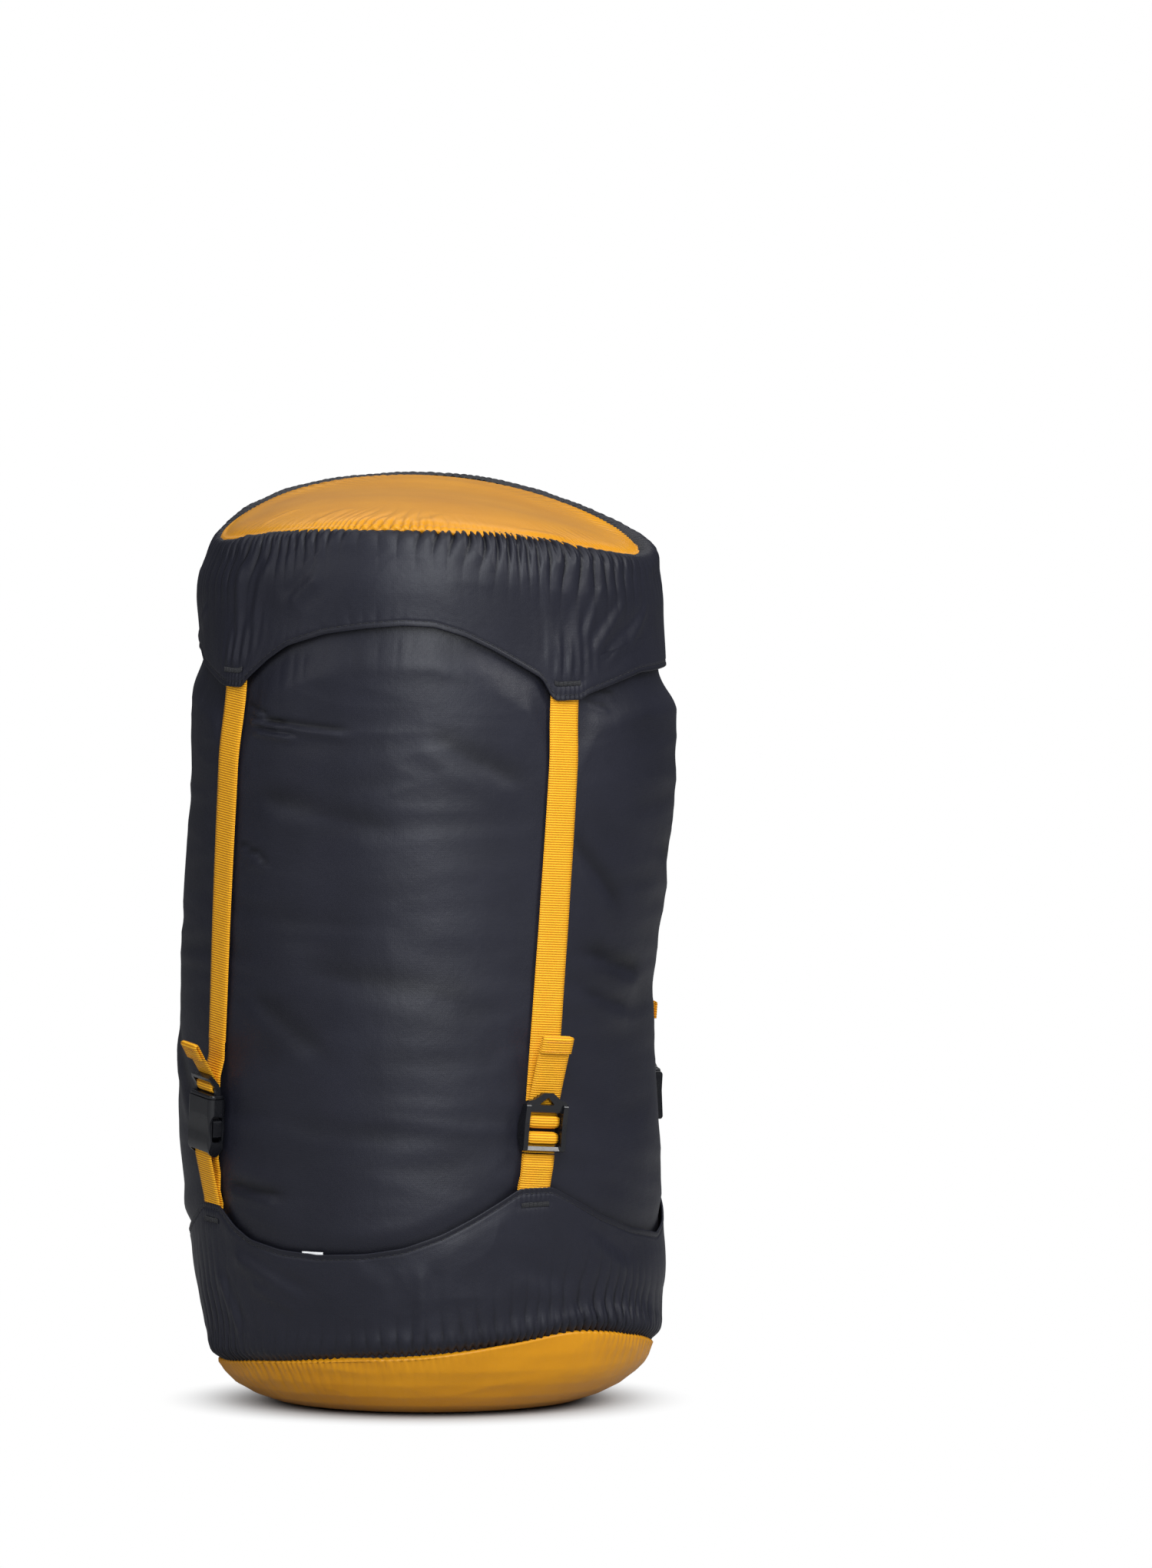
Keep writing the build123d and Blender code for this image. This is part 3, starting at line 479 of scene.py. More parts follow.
FOOT_PROFILE = [  # radius and height of the base, from its middle up to the cuff
    (0.0, 0.0), (0.030, 0.0), (0.056, 0.0), (0.067, 0.0016), (0.0765, 0.0048), (0.0838, 0.0090),
    (0.0895, 0.0145), (0.0940, 0.0208), (0.0972, 0.0280), (0.0993, 0.0355), (0.1008, 0.0440),
    (0.1022, 0.0540), (0.1034, 0.0660), (0.1042, 0.0780), (0.1043, 0.0900), (0.1043, 0.1100),
]
CLOTH_R = WALL_R - 0.0001  # the wall's cloth lies just inside the solid's face
EDGE_ROLL = 2.0 * MM  # radius at which a panel's rim turns into its seam
TIP_OUT = 2.4 * MM  # the skirt stands out over each strap by this


def by_height(z, stops):
    return np.interp(z, [s[0] for s in stops], [s[1] for s in stops])


def lobe(theta, z, middle):
    """One at the middle between two straps, nought at both of them."""
    t = around(theta, math.radians(middle) + swing(z)) / (math.pi / 2)
    return np.where(np.abs(t) < 0.5, np.cos(math.pi * np.clip(t, -0.5, 0.5)) ** 1.5, 0.0)


def body_radius(theta, z):
    """The stuffed wall, before its folds."""
    swell = sum(by_height(z, BODY[side]) * lobe(theta, z, at) for side, at in LOBES)
    return CLOTH_R + swell * MM


def base_swell(theta, z):
    """How far the base leans over its own round footing, towards the right."""
    return sum(by_height(z, CUFF_SIDE[side]) * lobe(theta, z, at) for side, at in LOBES) * MM


def cuff_radius(theta, z):
    r = np.interp(z, [p[1] for p in FOOT_PROFILE[2:]], [p[0] for p in FOOT_PROFILE[2:]])
    return r + base_swell(theta, z)


def skirt_radius(theta, z):
    swell = sum(SKIRT_SIDE[side] * lobe(theta, z, at) for side, at in LOBES)
    tip = np.exp(-((strap_gap(theta, z) / 0.016) ** 2)) * (1 - smooth(z, 0.322, 0.350))
    return LID_R + swell * MM + TIP_OUT * tip


SKIRT_EDGE = [  # height of the skirt's free edge in millimetres; it is lowest at the four straps
    (-66.4, 328), (-61, 323), (-48.4, 317.6), (-44.4, 316), (-36.6, 316), (-35.6, 319), (-28.4, 329),
    (-22.4, 335.4), (-11.5, 341.4), (-1.4, 344.2), (8.1, 345.7), (15.6, 345), (23.2, 340.8), (30.9, 334),
    (36.9, 328), (43.2, 321.5), (45.6, 312), (53.8, 312), (55.2, 314), (67.3, 318.4), (76, 321), (100, 320.5),
    (120, 317), (134.6, 312.5), (143.6, 312.5), (150, 321), (165, 337), (185, 344), (203, 338), (219, 324),
    (225, 316), (234, 316), (245, 322), (262, 328), (280, 329),
]
CUFF_EDGE = [  # and of the cuff's, which is highest there
    (-54.4, 90), (-45.6, 89.6), (-39.2, 81.6), (-33.4, 76.6), (-23.6, 73.2), (-12.8, 72), (-1.1, 73),
    (8.2, 75.8), (17.4, 81.8), (24.8, 88.6), (32.4, 96.4), (36.6, 101), (45.2, 101), (52.3, 94.4), (61, 87),
    (73.4, 79.8), (91, 74.6), (105, 79.5), (118, 88.5), (125.6, 96), (134.4, 96), (142, 89), (155, 77),
    (172, 72), (190, 72.5), (204, 80), (215, 93.6), (224.6, 94), (232, 87), (245, 77.5), (260, 73), (275, 72),
    (290, 76), (299, 83),
]
BASE_SEAM = [  # and of the seam round the base panel
    (-76, 18.5), (-54, 20.5), (-31, 23.3), (-8, 26), (14, 28), (36, 33), (54, 37), (75, 33), (95, 27),
    (125, 24), (160, 26), (200, 24), (240, 19),
]


def skirt_edge(theta):
    return edge_line(theta, SKIRT_EDGE)


def cuff_edge(theta):
    return edge_line(theta, CUFF_EDGE)


def base_seam(theta):
    return along_ring(theta, BASE_SEAM) * MM


LID_SAG = 0.021  # how much lower the lid's vault is at its two sides than along its crown
VAULT_R = (LID_R**2 + LID_SAG**2) / (2 * LID_SAG)
LID_PUFF = 4.5 * MM  # the front of the lid swells up behind its seam
SEAM_R = 0.0913  # where the lid's panel meets its skirt
LEFT_DRAWN, LEFT_AT, LEFT_WIDE = 4.2 * MM, math.radians(-82), 0.75  # the seam is drawn in on the left
LEFT_DROP = 0.0035  # the left of the lid hangs lower by this
SHOULDER = 0.024  # the skirt swells out over this height below its seam
LID_PLEATS = (186, 21)  # count and seed, the same for the skirt and the panel, so that their gathers meet
BASE_PLEATS = (180, 41)  # and for the cuff and the base
crown = (
    Matrix.Translation((0, 0, 0.3916))
    @ Matrix.Rotation(math.radians(13.5), 4, "Z")
    @ Matrix.Rotation(math.radians(2.3), 4, "X")
    @ Matrix.Rotation(math.radians(2.6), 4, "Y")
)
to_crown = np.array(crown.inverted())


def vault(x, y):
    """Height of the arched lid over a place."""
    z = np.full_like(x, 0.38)
    for _ in range(6):
        lx = to_crown[0, 0] * x + to_crown[0, 1] * y + to_crown[0, 2] * z + to_crown[0, 3]
        lz = to_crown[2, 0] * x + to_crown[2, 1] * y + to_crown[2, 2] * z + to_crown[2, 3]
        z = z - (lz - (np.sqrt(VAULT_R**2 - lx**2) - VAULT_R)) / to_crown[2, 2]
    leftward = -x * math.cos(AZIMUTH) - y * math.sin(AZIMUTH)
    return z - LEFT_DROP * np.clip((leftward - 0.055) / 0.035, 0, 1) ** 2


def seam_radius(theta):
    """The lid's seam, drawn in on the left."""
    return SEAM_R - LEFT_DRAWN * np.exp(-((around(theta, LEFT_AT) / LEFT_WIDE) ** 2))


def surface_normals(points):
    """Normals of a grid of points that closes round in its second direction."""
    du = np.roll(points, -1, 1) - np.roll(points, 1, 1)
    dv = np.gradient(points, axis=0)
    n = np.cross(du, dv)
    return n / np.maximum(np.linalg.norm(n, axis=-1, keepdims=True), 1e-12)


def raise_cloth(points, relief):
    """Moves a grid of cloth along its own normals by the relief."""
    n = surface_normals(points)
    middle = points.mean((0, 1))
    if ((points - middle) * n).sum() < 0:
        n = -n
    return points + n * relief[..., None]


def rows_from(*spans):
    """Row places from (start, end, count) spans, joined."""
    out = [np.linspace(a, b, n, endpoint=False) for a, b, n in spans]
    return np.concatenate(out + [[spans[-1][1]]])


def tube(name, points, material, lap=None, flip=False, turn=None, painted_shade=None):
    """Cloth tube from a grid of rows round the sack; lap adds the turned-in edge below its first row."""
    rows, columns = points.shape[:2]
    if lap is not None:
        points = np.concatenate([lap, points])
        rows = points.shape[0]
    around_m = TURN * WALL_R * (np.arange(columns) / columns if turn is None else turn)
    uv = np.stack(np.broadcast_arrays(around_m[None, :], run_of(points[:, 0])[:, None]), -1).reshape(-1, 2)
    piece = make(name, points.reshape(-1, 3), grid_faces(rows, columns, flip=flip), material, uv)
    if painted_shade is not None:
        paint_shade(piece, painted_shade, len(piece.data.vertices) - painted_shade.size)
    return piece


def ring_points(theta, r, z):
    return np.stack([r * np.sin(theta), -r * np.cos(theta), z], -1)


def columns_of(count):
    return np.arange(count) * TURN / count


def crowded(count, spans):
    """Places from nought to one, closer together where (from, to, weight) spans say so."""
    fine = np.linspace(0, 1, 4001)
    weight = np.ones_like(fine)
    for a, b, more in spans:
        weight += (more - 1) * smooth(fine, a - 0.01, a + 0.01) * (1 - smooth(fine, b - 0.01, b + 0.01))
    total = np.concatenate([[0], np.cumsum((weight[1:] + weight[:-1]) / 2)])
    return np.interp(np.linspace(0, total[-1], count), total, fine)


def taken_at(grid, u, v):
    """Values of a grid that closes round, at places given as shares of its columns and rows."""
    rows, columns = grid.shape
    x, y = (u % 1.0) * columns, np.clip(v, 0, 1) * (rows - 1)
    i, j = np.minimum(y.astype(int), rows - 2), x.astype(int) % columns
    k, fx, fy = (j + 1) % columns, x - np.floor(x), y - i
    low = grid[i, j] * (1 - fx) + grid[i, k] * fx
    high = grid[i + 1, j] * (1 - fx) + grid[i + 1, k] * fx
    return low * (1 - fy) + high * fy


# ---- the wall of the sack ----
WALL_TOP = 0.350  # the wall ends this high, under the skirt


def wall_piece():
    """Wall of the sack: it stands clear under the cuff and the skirt, and is held flat under each strap."""
    columns, rows = 500, 196
    turn = crowded(columns + 1, [(0.25, 0.61, 2.6)])[:-1]
    rise = crowded(rows, [(0.0, 0.13, 1.5), (0.76, 1.0, 2.2)])
    theta, z = np.meshgrid(turn * TURN - 0.4 * TURN, wall_low.z + (WALL_TOP - wall_low.z) * rise)
    u, v = np.meshgrid(turn, rise)
    lower, upper = cuff_edge(theta), skirt_edge(theta)
    strap = np.exp(-((strap_gap(theta, z) / 0.014) ** 4))
    low_room, high_room = (2.3 + 1.1 * strap) * MM, (2.5 + 0.9 * strap) * MM
    under_cuff = 1 - smooth(z, lower - 1 * MM, lower + 11 * MM)
    under_skirt = smooth(z, upper - (20 + 18 * strap) * MM, upper + (3 * strap - 1) * MM)
    r = body_radius(theta, z) * (1 - under_cuff) + (cuff_radius(theta, z) - low_room) * under_cuff
    r = r * (1 - under_skirt) + (skirt_radius(theta, z) - high_room) * under_skirt
    shown = (1 - under_cuff) * (1 - under_skirt)

    def noise(seed, wide, tall):
        return taken_at(field((300, 700), seed, wide, tall), u, v)

    crinkle = -np.abs(noise(13, 46, 8)) * 0.26 - np.abs(noise(14, 14, 18)) * 0.06
    relief = 0.26 * noise(11, 80, 34) + 0.13 * noise(12, 34, 13) + crinkle + 0.2
    folds = folded(0.0, around(theta, 0.0) * WALL_R / MM, z / MM, WALL_FOLDS)
    to_hem = upper - z
    drawn = ridge(to_hem, 0.012) * 0.9 * (pleats(theta, 0.3 + 0 * z, 70, 15) - 0.6) * (1 - strap)
    tucks = np.clip(noise(16, 14, 60), 0, 2) * ridge(to_hem, 0.005) * lobe(theta, z, 0)
    relief = relief + folds + drawn - 1.3 * tucks
    # Painted shade: the wall is darkened in its folds, tucks and crinkles, and in bands just under the
    # skirt's edge and just above the cuff's edge.
    shade_under_hems = ridge(to_hem, 0.0022) + ridge(z - lower, 0.0022)
    painted_shade = np.clip(-1.1 * folds, 0, 1) + 0.45 * np.clip(tucks, 0, 1) + 0.7 * shade_under_hems
    painted_shade = painted_shade + np.clip(-0.5 * crinkle - 0.12, 0, 0.3)
    held = np.exp(-((strap_gap(theta, z) / 0.0125) ** 6))
    relief = np.where(relief > 0, relief * (1 - held), relief * (1 - 0.5 * held)) * shown
    points = raise_cloth(ring_points(theta, r, z), relief * MM)
    flat = np.hypot(points[..., 0], points[..., 1])
    limit = CLOTH_R + 6 * MM * (1 - held) ** 2 + 4 * MM * (1 - held)
    points[..., :2] *= (np.minimum(flat, limit) / flat)[..., None]
    return tube("wall_cloth", points, BLACK_CLOTH, turn=turn, painted_shade=painted_shade)


WALL_FOLDS = [  # from, to, width and height, in millimetres on the unrolled wall
    ((-64, 302), (-40, 299), 1.5, 1.9),
    ((-60, 297), (-34, 295), 1.5, 1.9),
    ((-48, 300), (-8, 297), 1.7, 1.2),
    ((-66, 307), (-50, 303), 1.4, 1.2),
    ((-70, 246), (-52, 241), 1.6, 1.4),
    ((-66, 240), (-48, 239), 1.5, 1.2),
    ((-78, 97), (-40, 93), 2.6, 1.3),
    ((104, 313), (122, 310), 1.5, 1.2),
    ((102, 317), (126, 316), 1.4, 1.1),
    ((100, 309), (116, 305), 1.4, 0.8),
    ((-60, 262), (10, 250), 6.0, 0.7),
    ((20, 292), (66, 268), 6.0, 0.8),
    ((-30, 186), (46, 172), 8.0, 0.8),
    ((84, 250), (118, 214), 5.0, 0.9),
    ((-66, 178), (-20, 150), 6.0, 0.6),
    ((96, 196), (150, 182), 5.0, 1.2),
    ((96, 180), (140, 170), 4.0, 0.9),
    ((150, 240), (230, 200), 6.0, 1.0),
    ((-150, 160), (-110, 120), 6.0, 1.0),
    ((-240, 260), (-180, 240), 5.0, 1.0),
    ((260, 150), (300, 190), 5.0, 1.0),
]


# ---- lid: skirt and panel ----
SKIRT_GATHERS = [  # strength in millimetres
    (-76, 0.9), (-48, 1.3), (-30, 1.5), (-14, 2.3), (6, 2.0), (22, 1.5), (36, 1.7), (60, 1.8), (84, 1.2),
    (120, 0.5), (160, 0.5), (200, 0.5), (245, 0.8),
]
SKIRT_REACH = [  # how far the gathers run from the seam, in millimetres
    (-76, 16), (-50, 20), (-30, 12), (-14, 8), (6, 7), (22, 8), (36, 11), (60, 13), (84, 14), (120, 10),
    (160, 14), (200, 11), (245, 16),
]
SKIRT_PUFF = [  # the roll just below the seam, which shows over the crown from the front
    (-50, 1.0), (30, 1.0), (62, 1.4), (90, 3.2), (120, 5.4), (150, 6.0), (195, 6.6), (220, 6.2), (245, 4.4),
    (262, 2.4), (280, 1.4),
]
SKIRT_LIP = [  # how far the free edge stands off
    (-76, 0.0), (-44, 0.0), (0, 0.6), (40, 0.0), (62, 2.2), (84, 1.6), (110, 0.6), (136, 0.0), (180, 0.5),
    (230, 0.0),
]


def skirt_grid(columns=1200):
    """Angles, radii and heights of the skirt, with the way up from its edge and down from its seam."""
    theta = columns_of(columns)[None, :]
    edge = skirt_edge(theta)
    seam_r = seam_radius(theta)
    seam_z = vault(seam_r * np.sin(theta), -seam_r * np.cos(theta)) - 0.0004
    v = rows_from((0, 0.08, 10), (0.08, 0.5, 18), (0.5, 1.0, 40))[:, None]
    down = (seam_z - edge) * (1 - v) ** 1.5
    z = seam_z - down
    theta = np.broadcast_to(theta, z.shape)
    shoulder = (1 - (1 - np.clip(down / SHOULDER, 0, 1)) ** 2) ** 0.75
    r = seam_radius(theta) + (skirt_radius(theta, z) - seam_radius(theta)) * shoulder
    step = np.hypot(np.diff(r, axis=0), np.diff(z, axis=0))
    s = np.concatenate([np.zeros((1, z.shape[1])), np.cumsum(step, axis=0)])
    return theta, r, z, s, s[-1:] - s


def skirt_piece():
    """Lid skirt; s is the way up from its free edge, and below the way down from its seam."""
    theta, r, z, s, below = skirt_grid()
    reach = along_ring(theta, SKIRT_REACH) * MM
    gathers = seam_gathers(theta, below, along_ring(theta, SKIRT_GATHERS), reach, *LID_PLEATS)
    # Painted shade: darker between the gathers, in a thin line and a wider band below the seam, and along the
    # free edge.
    painted_shade = np.clip(-2.0 * gathers, 0, 0.8) + 0.6 * ridge(below, 0.0018)
    painted_shade = painted_shade + 0.28 * ridge(below, 0.007) + 0.5 * ridge(s, 0.0011)
    relief = 1.8 * gathers + 0.4 * field(theta.shape, 22, 90, 14) * smooth(s, 0.0, 0.02)
    relief = relief - 0.22 * np.abs(field(theta.shape, 23, 24, 12)) * smooth(s, 0.002, 0.012)
    pinched = (pleats(theta, s / 0.012, 120, 24) - PLEAT_MEAN) * ridge(s, 0.008) * lobe(theta, z, -6)
    relief = relief + 0.9 * pinched * smooth(s, 0.001, 0.003)
    relief = relief + along_ring(theta, SKIRT_PUFF) * ridge(below, 0.006, 0.006) - 2.3 * ridge(below, 0.0025)
    relief = folded(relief, around(theta, 0.0) * WALL_R / MM, z / MM, SKIRT_FOLDS)
    gap, up = strap_gap(theta, z) / MM, s / MM
    fan = ridge(gap, 12.0) * smooth(up, 7, 12) * ridge(up, 14, 12) * np.cos(gap * TURN / 5.5)
    relief = relief + sewn_hem(up, gap, 0.22, 9.0) + 0.5 * fan
    relief = relief + along_ring(theta, SKIRT_LIP) * ridge(s, 0.012)
    points = raise_cloth(ring_points(theta, r, z), relief * MM)
    lap = lap_of(points, 1.0 * MM, 14 * MM)
    return tube("skirt_cloth", points, BLACK_CLOTH, lap, painted_shade=painted_shade), points, s


SKIRT_FOLDS = [  # as on the wall
    ((-72, 338), (-70, 372), 3.0, 0.9),
    ((-62, 340), (-52, 374), 2.6, 0.8),
    ((84, 326), (80, 362), 3.0, 0.6),
    ((92, 324), (98, 356), 2.6, 0.5),
    ((104, 330), (128, 352), 3.0, 0.8),
    ((112, 326), (140, 342), 2.6, 0.7),
    ((100, 336), (112, 360), 2.4, 0.6),
    ((128, 330), (150, 350), 2.6, 0.6),
    ((-40, 352), (-24, 366), 3.0, 0.7),
    ((-130, 330), (-100, 350), 3.0, 1.0),
]


def lap_of(points, thick, depth):
    """Turned edge below the first row of a tube: round the hem and up behind it."""
    first, second = points[0], points[1]
    up, inward = unit(second - first), unit(-first * [1, 1, 0])
    rows = [first + inward * thick + up * depth, first + inward * thick + up * depth / 3]
    for angle in (0, 45, 90, 135, 160):
        a = math.radians(angle)
        half = thick / 2
        rows.append(first + inward * (half + half * math.cos(a)) - up * half * math.sin(a))
    return np.stack(rows)


PANEL_GATHERS = [  # strength in millimetres
    (-76, 0.5), (-40, 0.6), (-20, 1.2), (-8, 1.4), (10, 1.2), (24, 0.6), (50, 0.6), (80, 0.6), (130, 0.9),
    (180, 1.0), (230, 0.8),
]
PANEL_REACH = [  # how far the gathers run from the seam, in millimetres
    (-76, 8), (-40, 9), (-20, 11), (-8, 14), (10, 12), (24, 8), (50, 9), (80, 11), (130, 12), (180, 12),
    (230, 10),
]


def panel_piece():
    """Lid panel: a vaulted disc whose rim rolls down into the seam."""
    columns = 960
    theta = columns_of(columns)[None, :]
    rim = 0.0895
    rho = rows_from((0.0015, 0.060, 24), (0.060, rim, 34))[:, None] * (seam_radius(theta) + 0.0002) / rim
    x, y = rho * np.sin(theta), -rho * np.cos(theta)
    inward = np.clip(seam_radius(theta) - rho, 0, 1)
    z = vault(x, y) + LID_PUFF * (1 - np.exp(-inward / 0.018)) * (1 - smooth(y, -0.055, 0.05))
    roll = np.radians([20, 45, 70, 95, 120, 145])[:, None]
    r = np.concatenate([rho, rho[-1:] + EDGE_ROLL * np.sin(roll)])
    z = np.concatenate([z, z[-1:, :] - EDGE_ROLL * (1 - np.cos(roll))])
    theta = np.broadcast_to(theta, r.shape)
    inset = np.clip(seam_radius(theta) - r, 0, 1)
    reach = along_ring(theta, PANEL_REACH) * MM
    gathers = seam_gathers(theta, inset, along_ring(theta, PANEL_GATHERS), reach, *LID_PLEATS, fall=1.4)
    broad = field(r.shape, 31, 180, 20) * 0.22 * smooth(inset, 0, 0.02) * smooth(r, 0.01, 0.05)
    relief = 1.2 * gathers + broad - 0.5 * ridge(inset, 0.0022) + 0.4 * ridge(inset, 0.005, 0.006)
    relief = folded(relief, r * np.sin(theta) / MM, -r * np.cos(theta) / MM, PANEL_FOLDS)
    points = ring_points(theta, r, z)
    n = surface_normals(points)
    n = np.where(n[..., 2:] < 0, -n, n) * smooth(r, 0.0, 0.02)[..., None]
    points = points + n * (relief * MM)[..., None]
    # Painted shade: darker between the gathers next to the seam.
    return disc("lid_panel_cloth", points, points[0].mean(0), -0.9 * gathers)


def disc(name, points, pole, painted_shade, flip=False):
    """Cloth disc from a grid of rings, closed at its middle; its map is its own plan."""
    rows, columns = points.shape[:2]
    flat = points.reshape(-1, 3)
    uv = np.concatenate([flat[:, :2], [[0, 0]]])
    faces = grid_faces(rows, columns, flip=flip)
    piece = make(name, np.concatenate([flat, [pole]]), faces, OCHRE_CLOTH, uv)
    close_pole(piece, columns, len(flat))
    paint_shade(piece, painted_shade)
    return piece


PANEL_FOLDS = [  # the same, on the lid seen from above
    ((-30, -84), (-18, -62), 3.0, 0.4),
    ((20, -88), (26, -70), 3.0, 0.4),
    ((58, -66), (74, -48), 2.6, 0.5),
    ((-60, -60), (-44, -46), 3.0, 0.4),
]


def close_pole(piece, columns, pole):
    """Joins the innermost ring of a disc to its middle vertex."""
    mesh = piece.data
    form = bmesh.new()
    form.from_mesh(mesh)
    form.verts.ensure_lookup_table()
    uv = form.loops.layers.uv.verify()
    for j in range(columns):
        a, b = form.verts[j], form.verts[(j + 1) % columns]
        face = form.faces.new((form.verts[pole], b, a))
        face.smooth = True
        for loop in face.loops:
            loop[uv].uv = loop.vert.co.xy
    bmesh.ops.recalc_face_normals(form, faces=form.faces)
    form.to_mesh(mesh)
    form.free()
    mesh.update()


# ---- base: cuff and bowl ----
CUFF_GATHERS = [  # strength in millimetres
    (-76, 1.0), (-56, 1.7), (-40, 1.4), (-20, 0.9), (10, 0.8), (30, 1.3), (50, 1.7), (75, 1.5), (110, 1.0),
    (160, 1.2), (200, 0.9), (245, 1.2),
]
CUFF_REACH = [  # how far the gathers run from the seam, in millimetres
    (-76, 14), (-56, 22), (-40, 18), (-20, 9), (10, 8), (30, 12), (50, 15), (75, 13), (110, 12), (160, 14),
    (200, 10), (245, 14),
]


def cuff_piece():
    """Base cuff; s is the way down from its free edge, and above the way up from its seam."""
    theta = columns_of(1200)[None, :]
    edge, seam = cuff_edge(theta), base_seam(theta)
    v = rows_from((0, 0.10, 10), (0.10, 0.5, 18), (0.5, 1.0, 34))[:, None]
    z = edge + (seam - edge) * v
    s, above = edge - z, np.maximum(z - seam, 0)
    theta = np.broadcast_to(theta, z.shape)
    r = cuff_radius(theta, z)
    reach = along_ring(theta, CUFF_REACH) * MM
    gathers = seam_gathers(theta, above, along_ring(theta, CUFF_GATHERS), reach, *BASE_PLEATS)
    # Painted shade: darker between the gathers, in a thin line and a wider band above the seam, and along the
    # free edge.
    painted_shade = np.clip(-2.0 * gathers, 0, 0.8) + 0.6 * ridge(above, 0.0018)
    painted_shade = painted_shade + 0.25 * ridge(above, 0.008) + 0.5 * ridge(s, 0.0011)
    relief = 1.7 * gathers + 0.45 * field(z.shape, 42, 90, 14) * smooth(s, 0, 0.01)
    relief = relief - 0.2 * np.abs(field(z.shape, 43, 27, 12)) * smooth(s, 0.002, 0.012)
    relief = relief + 1.1 * ridge(above, 0.005, 0.006) - 2.0 * ridge(above, 0.003)
    relief = folded(relief, around(theta, 0.0) * WALL_R / MM, z / MM, CUFF_FOLDS)
    relief = relief + sewn_hem(s / MM, strap_gap(theta, z) / MM, 0.2, 8.0)
    points = raise_cloth(ring_points(theta, r, z), relief * MM)
    lap = lap_of(points, 1.0 * MM, 10 * MM)
    return tube("cuff_cloth", points, BLACK_CLOTH, lap, flip=True, painted_shade=painted_shade), points, s


CUFF_FOLDS = [  # as on the wall
    ((-74, 70), (-30, 50), 4.0, 1.3),
    ((-64, 58), (-34, 46), 3.0, 0.9),
    ((-86, 62), (-72, 34), 3.0, 1.0),
    ((22, 70), (24, 34), 4.0, 0.9),
    ((60, 62), (96, 50), 5.0, 0.7),
    ((100, 78), (130, 60), 4.0, 0.9),
    ((-8, 66), (10, 58), 5.0, 0.5),
]


BOWL_GATHERS = [  # strength in millimetres
    (-76, 0.9), (-50, 1.0), (-20, 0.7), (15, 1.0), (30, 0.9), (60, 0.8), (90, 0.7), (150, 0.9), (210, 0.8),
]


def bowl_piece():
    """Rounded base panel, turned in under the cuff at its seam."""
    theta = columns_of(960)[None, :]
    seam = base_seam(theta) - 0.0008
    pr = np.array([p[0] for p in FOOT_PROFILE])
    pz = np.array([p[1] for p in FOOT_PROFILE])
    length = np.concatenate([[0], np.cumsum(np.hypot(np.diff(pr), np.diff(pz)))])
    run = rows_from((0.02, 0.55, 12), (0.55, 1.0, 44))[:, None] * np.interp(seam, pz[2:], length[2:])
    r, z = np.interp(run, length, pr), np.interp(run, length, pz)
    over = np.radians([25, 60, 95, 130])[:, None]
    r = np.concatenate([r, r[-1:] + 0.0002 - EDGE_ROLL * 0.8 * (1 - np.cos(over))])
    z = np.concatenate([z, z[-1:] + EDGE_ROLL * 0.8 * np.sin(over)])
    theta = np.broadcast_to(theta, r.shape)
    r = r + base_swell(theta, z)
    below = np.clip(np.broadcast_to(seam, r.shape) - z, 0, 1)
    gathers = seam_gathers(theta, below, along_ring(theta, BOWL_GATHERS), 0.008, *BASE_PLEATS)
    relief = 1.1 * gathers + 0.4 * field(r.shape, 51, 120, 12) * smooth(z, 0.002, 0.012)
    relief = relief - 0.25 * np.abs(field(r.shape, 52, 36, 8)) * smooth(z, 0.002, 0.012)
    points = ring_points(theta, r, z)
    n = surface_normals(points)
    outward = (n * (points - [0, 0, 0.05])).sum(-1, keepdims=True)
    n = np.where(outward < 0, -n, n)
    points = points + n * (relief * MM * smooth(z, 0.0, 0.006))[..., None]
    points[..., 2] = np.maximum(points[..., 2], 0.0)
    # Painted shade: darker between the gathers below the seam.
    return disc("base_bowl_cloth", points, [0, 0, 0], -0.5 * gathers, flip=True)


wall = wall_piece()
skirt, skirt_points, skirt_s = skirt_piece()
panel = panel_piece()
cuff, cuff_points, cuff_s = cuff_piece()
bowl = bowl_piece()


# ---- webbing ----
WEB_WIDTH, WEB = 15.0 * MM, 1.2 * MM
TAIL_LEAN = {"front_left": 30.0, "front_right": 15.5, "back_right": 7.0, "back_left": 12.0}
TAIL_LENGTH = {"front_left": 16.0, "front_right": 25.0, "back_right": 25.0, "back_left": 22.0}
TAIL_HEM = 7.5
FOLD_GAP = 1.45  # between the middles of the two layers of a hem


def rounded(points, radii):
    """Corner points of a webbing path made into a smooth run of (depth, height) places, in millimetres."""
    pts = [np.array(p, float) for p in points]
    out = [pts[0]]
    for i in range(1, len(pts) - 1):
        radius = radii[i - 1] if isinstance(radii, (list, tuple)) else radii
        a, b = pts[i - 1] - pts[i], pts[i + 1] - pts[i]
        la, lb = np.linalg.norm(a), np.linalg.norm(b)
        a, b = a / la, b / lb
        half = math.acos(max(-1.0, min(1.0, float(a @ b)))) / 2
        reach = min(radius / math.tan(half), 0.499 * la, 0.499 * lb) if half < math.pi / 2 - 1e-3 else 0
        if reach < 1e-4:
            out.append(pts[i])
            continue
        start, end = pts[i] + a * reach, pts[i] + b * reach
        bend_r = reach * math.tan(half)
        hub = pts[i] + (a + b) / np.linalg.norm(a + b) * math.hypot(reach, bend_r)
        a0, a1 = start - hub, end - hub
        span = math.atan2(a0[0] * a1[1] - a0[1] * a1[0], a0 @ a1)
        for t in np.linspace(0, 1, 12):
            c, s = math.cos(span * t), math.sin(span * t)
            out.append(hub + np.array([c * a0[0] - s * a0[1], s * a0[0] + c * a0[1]]))
    out.append(pts[-1])
    return np.array(out)


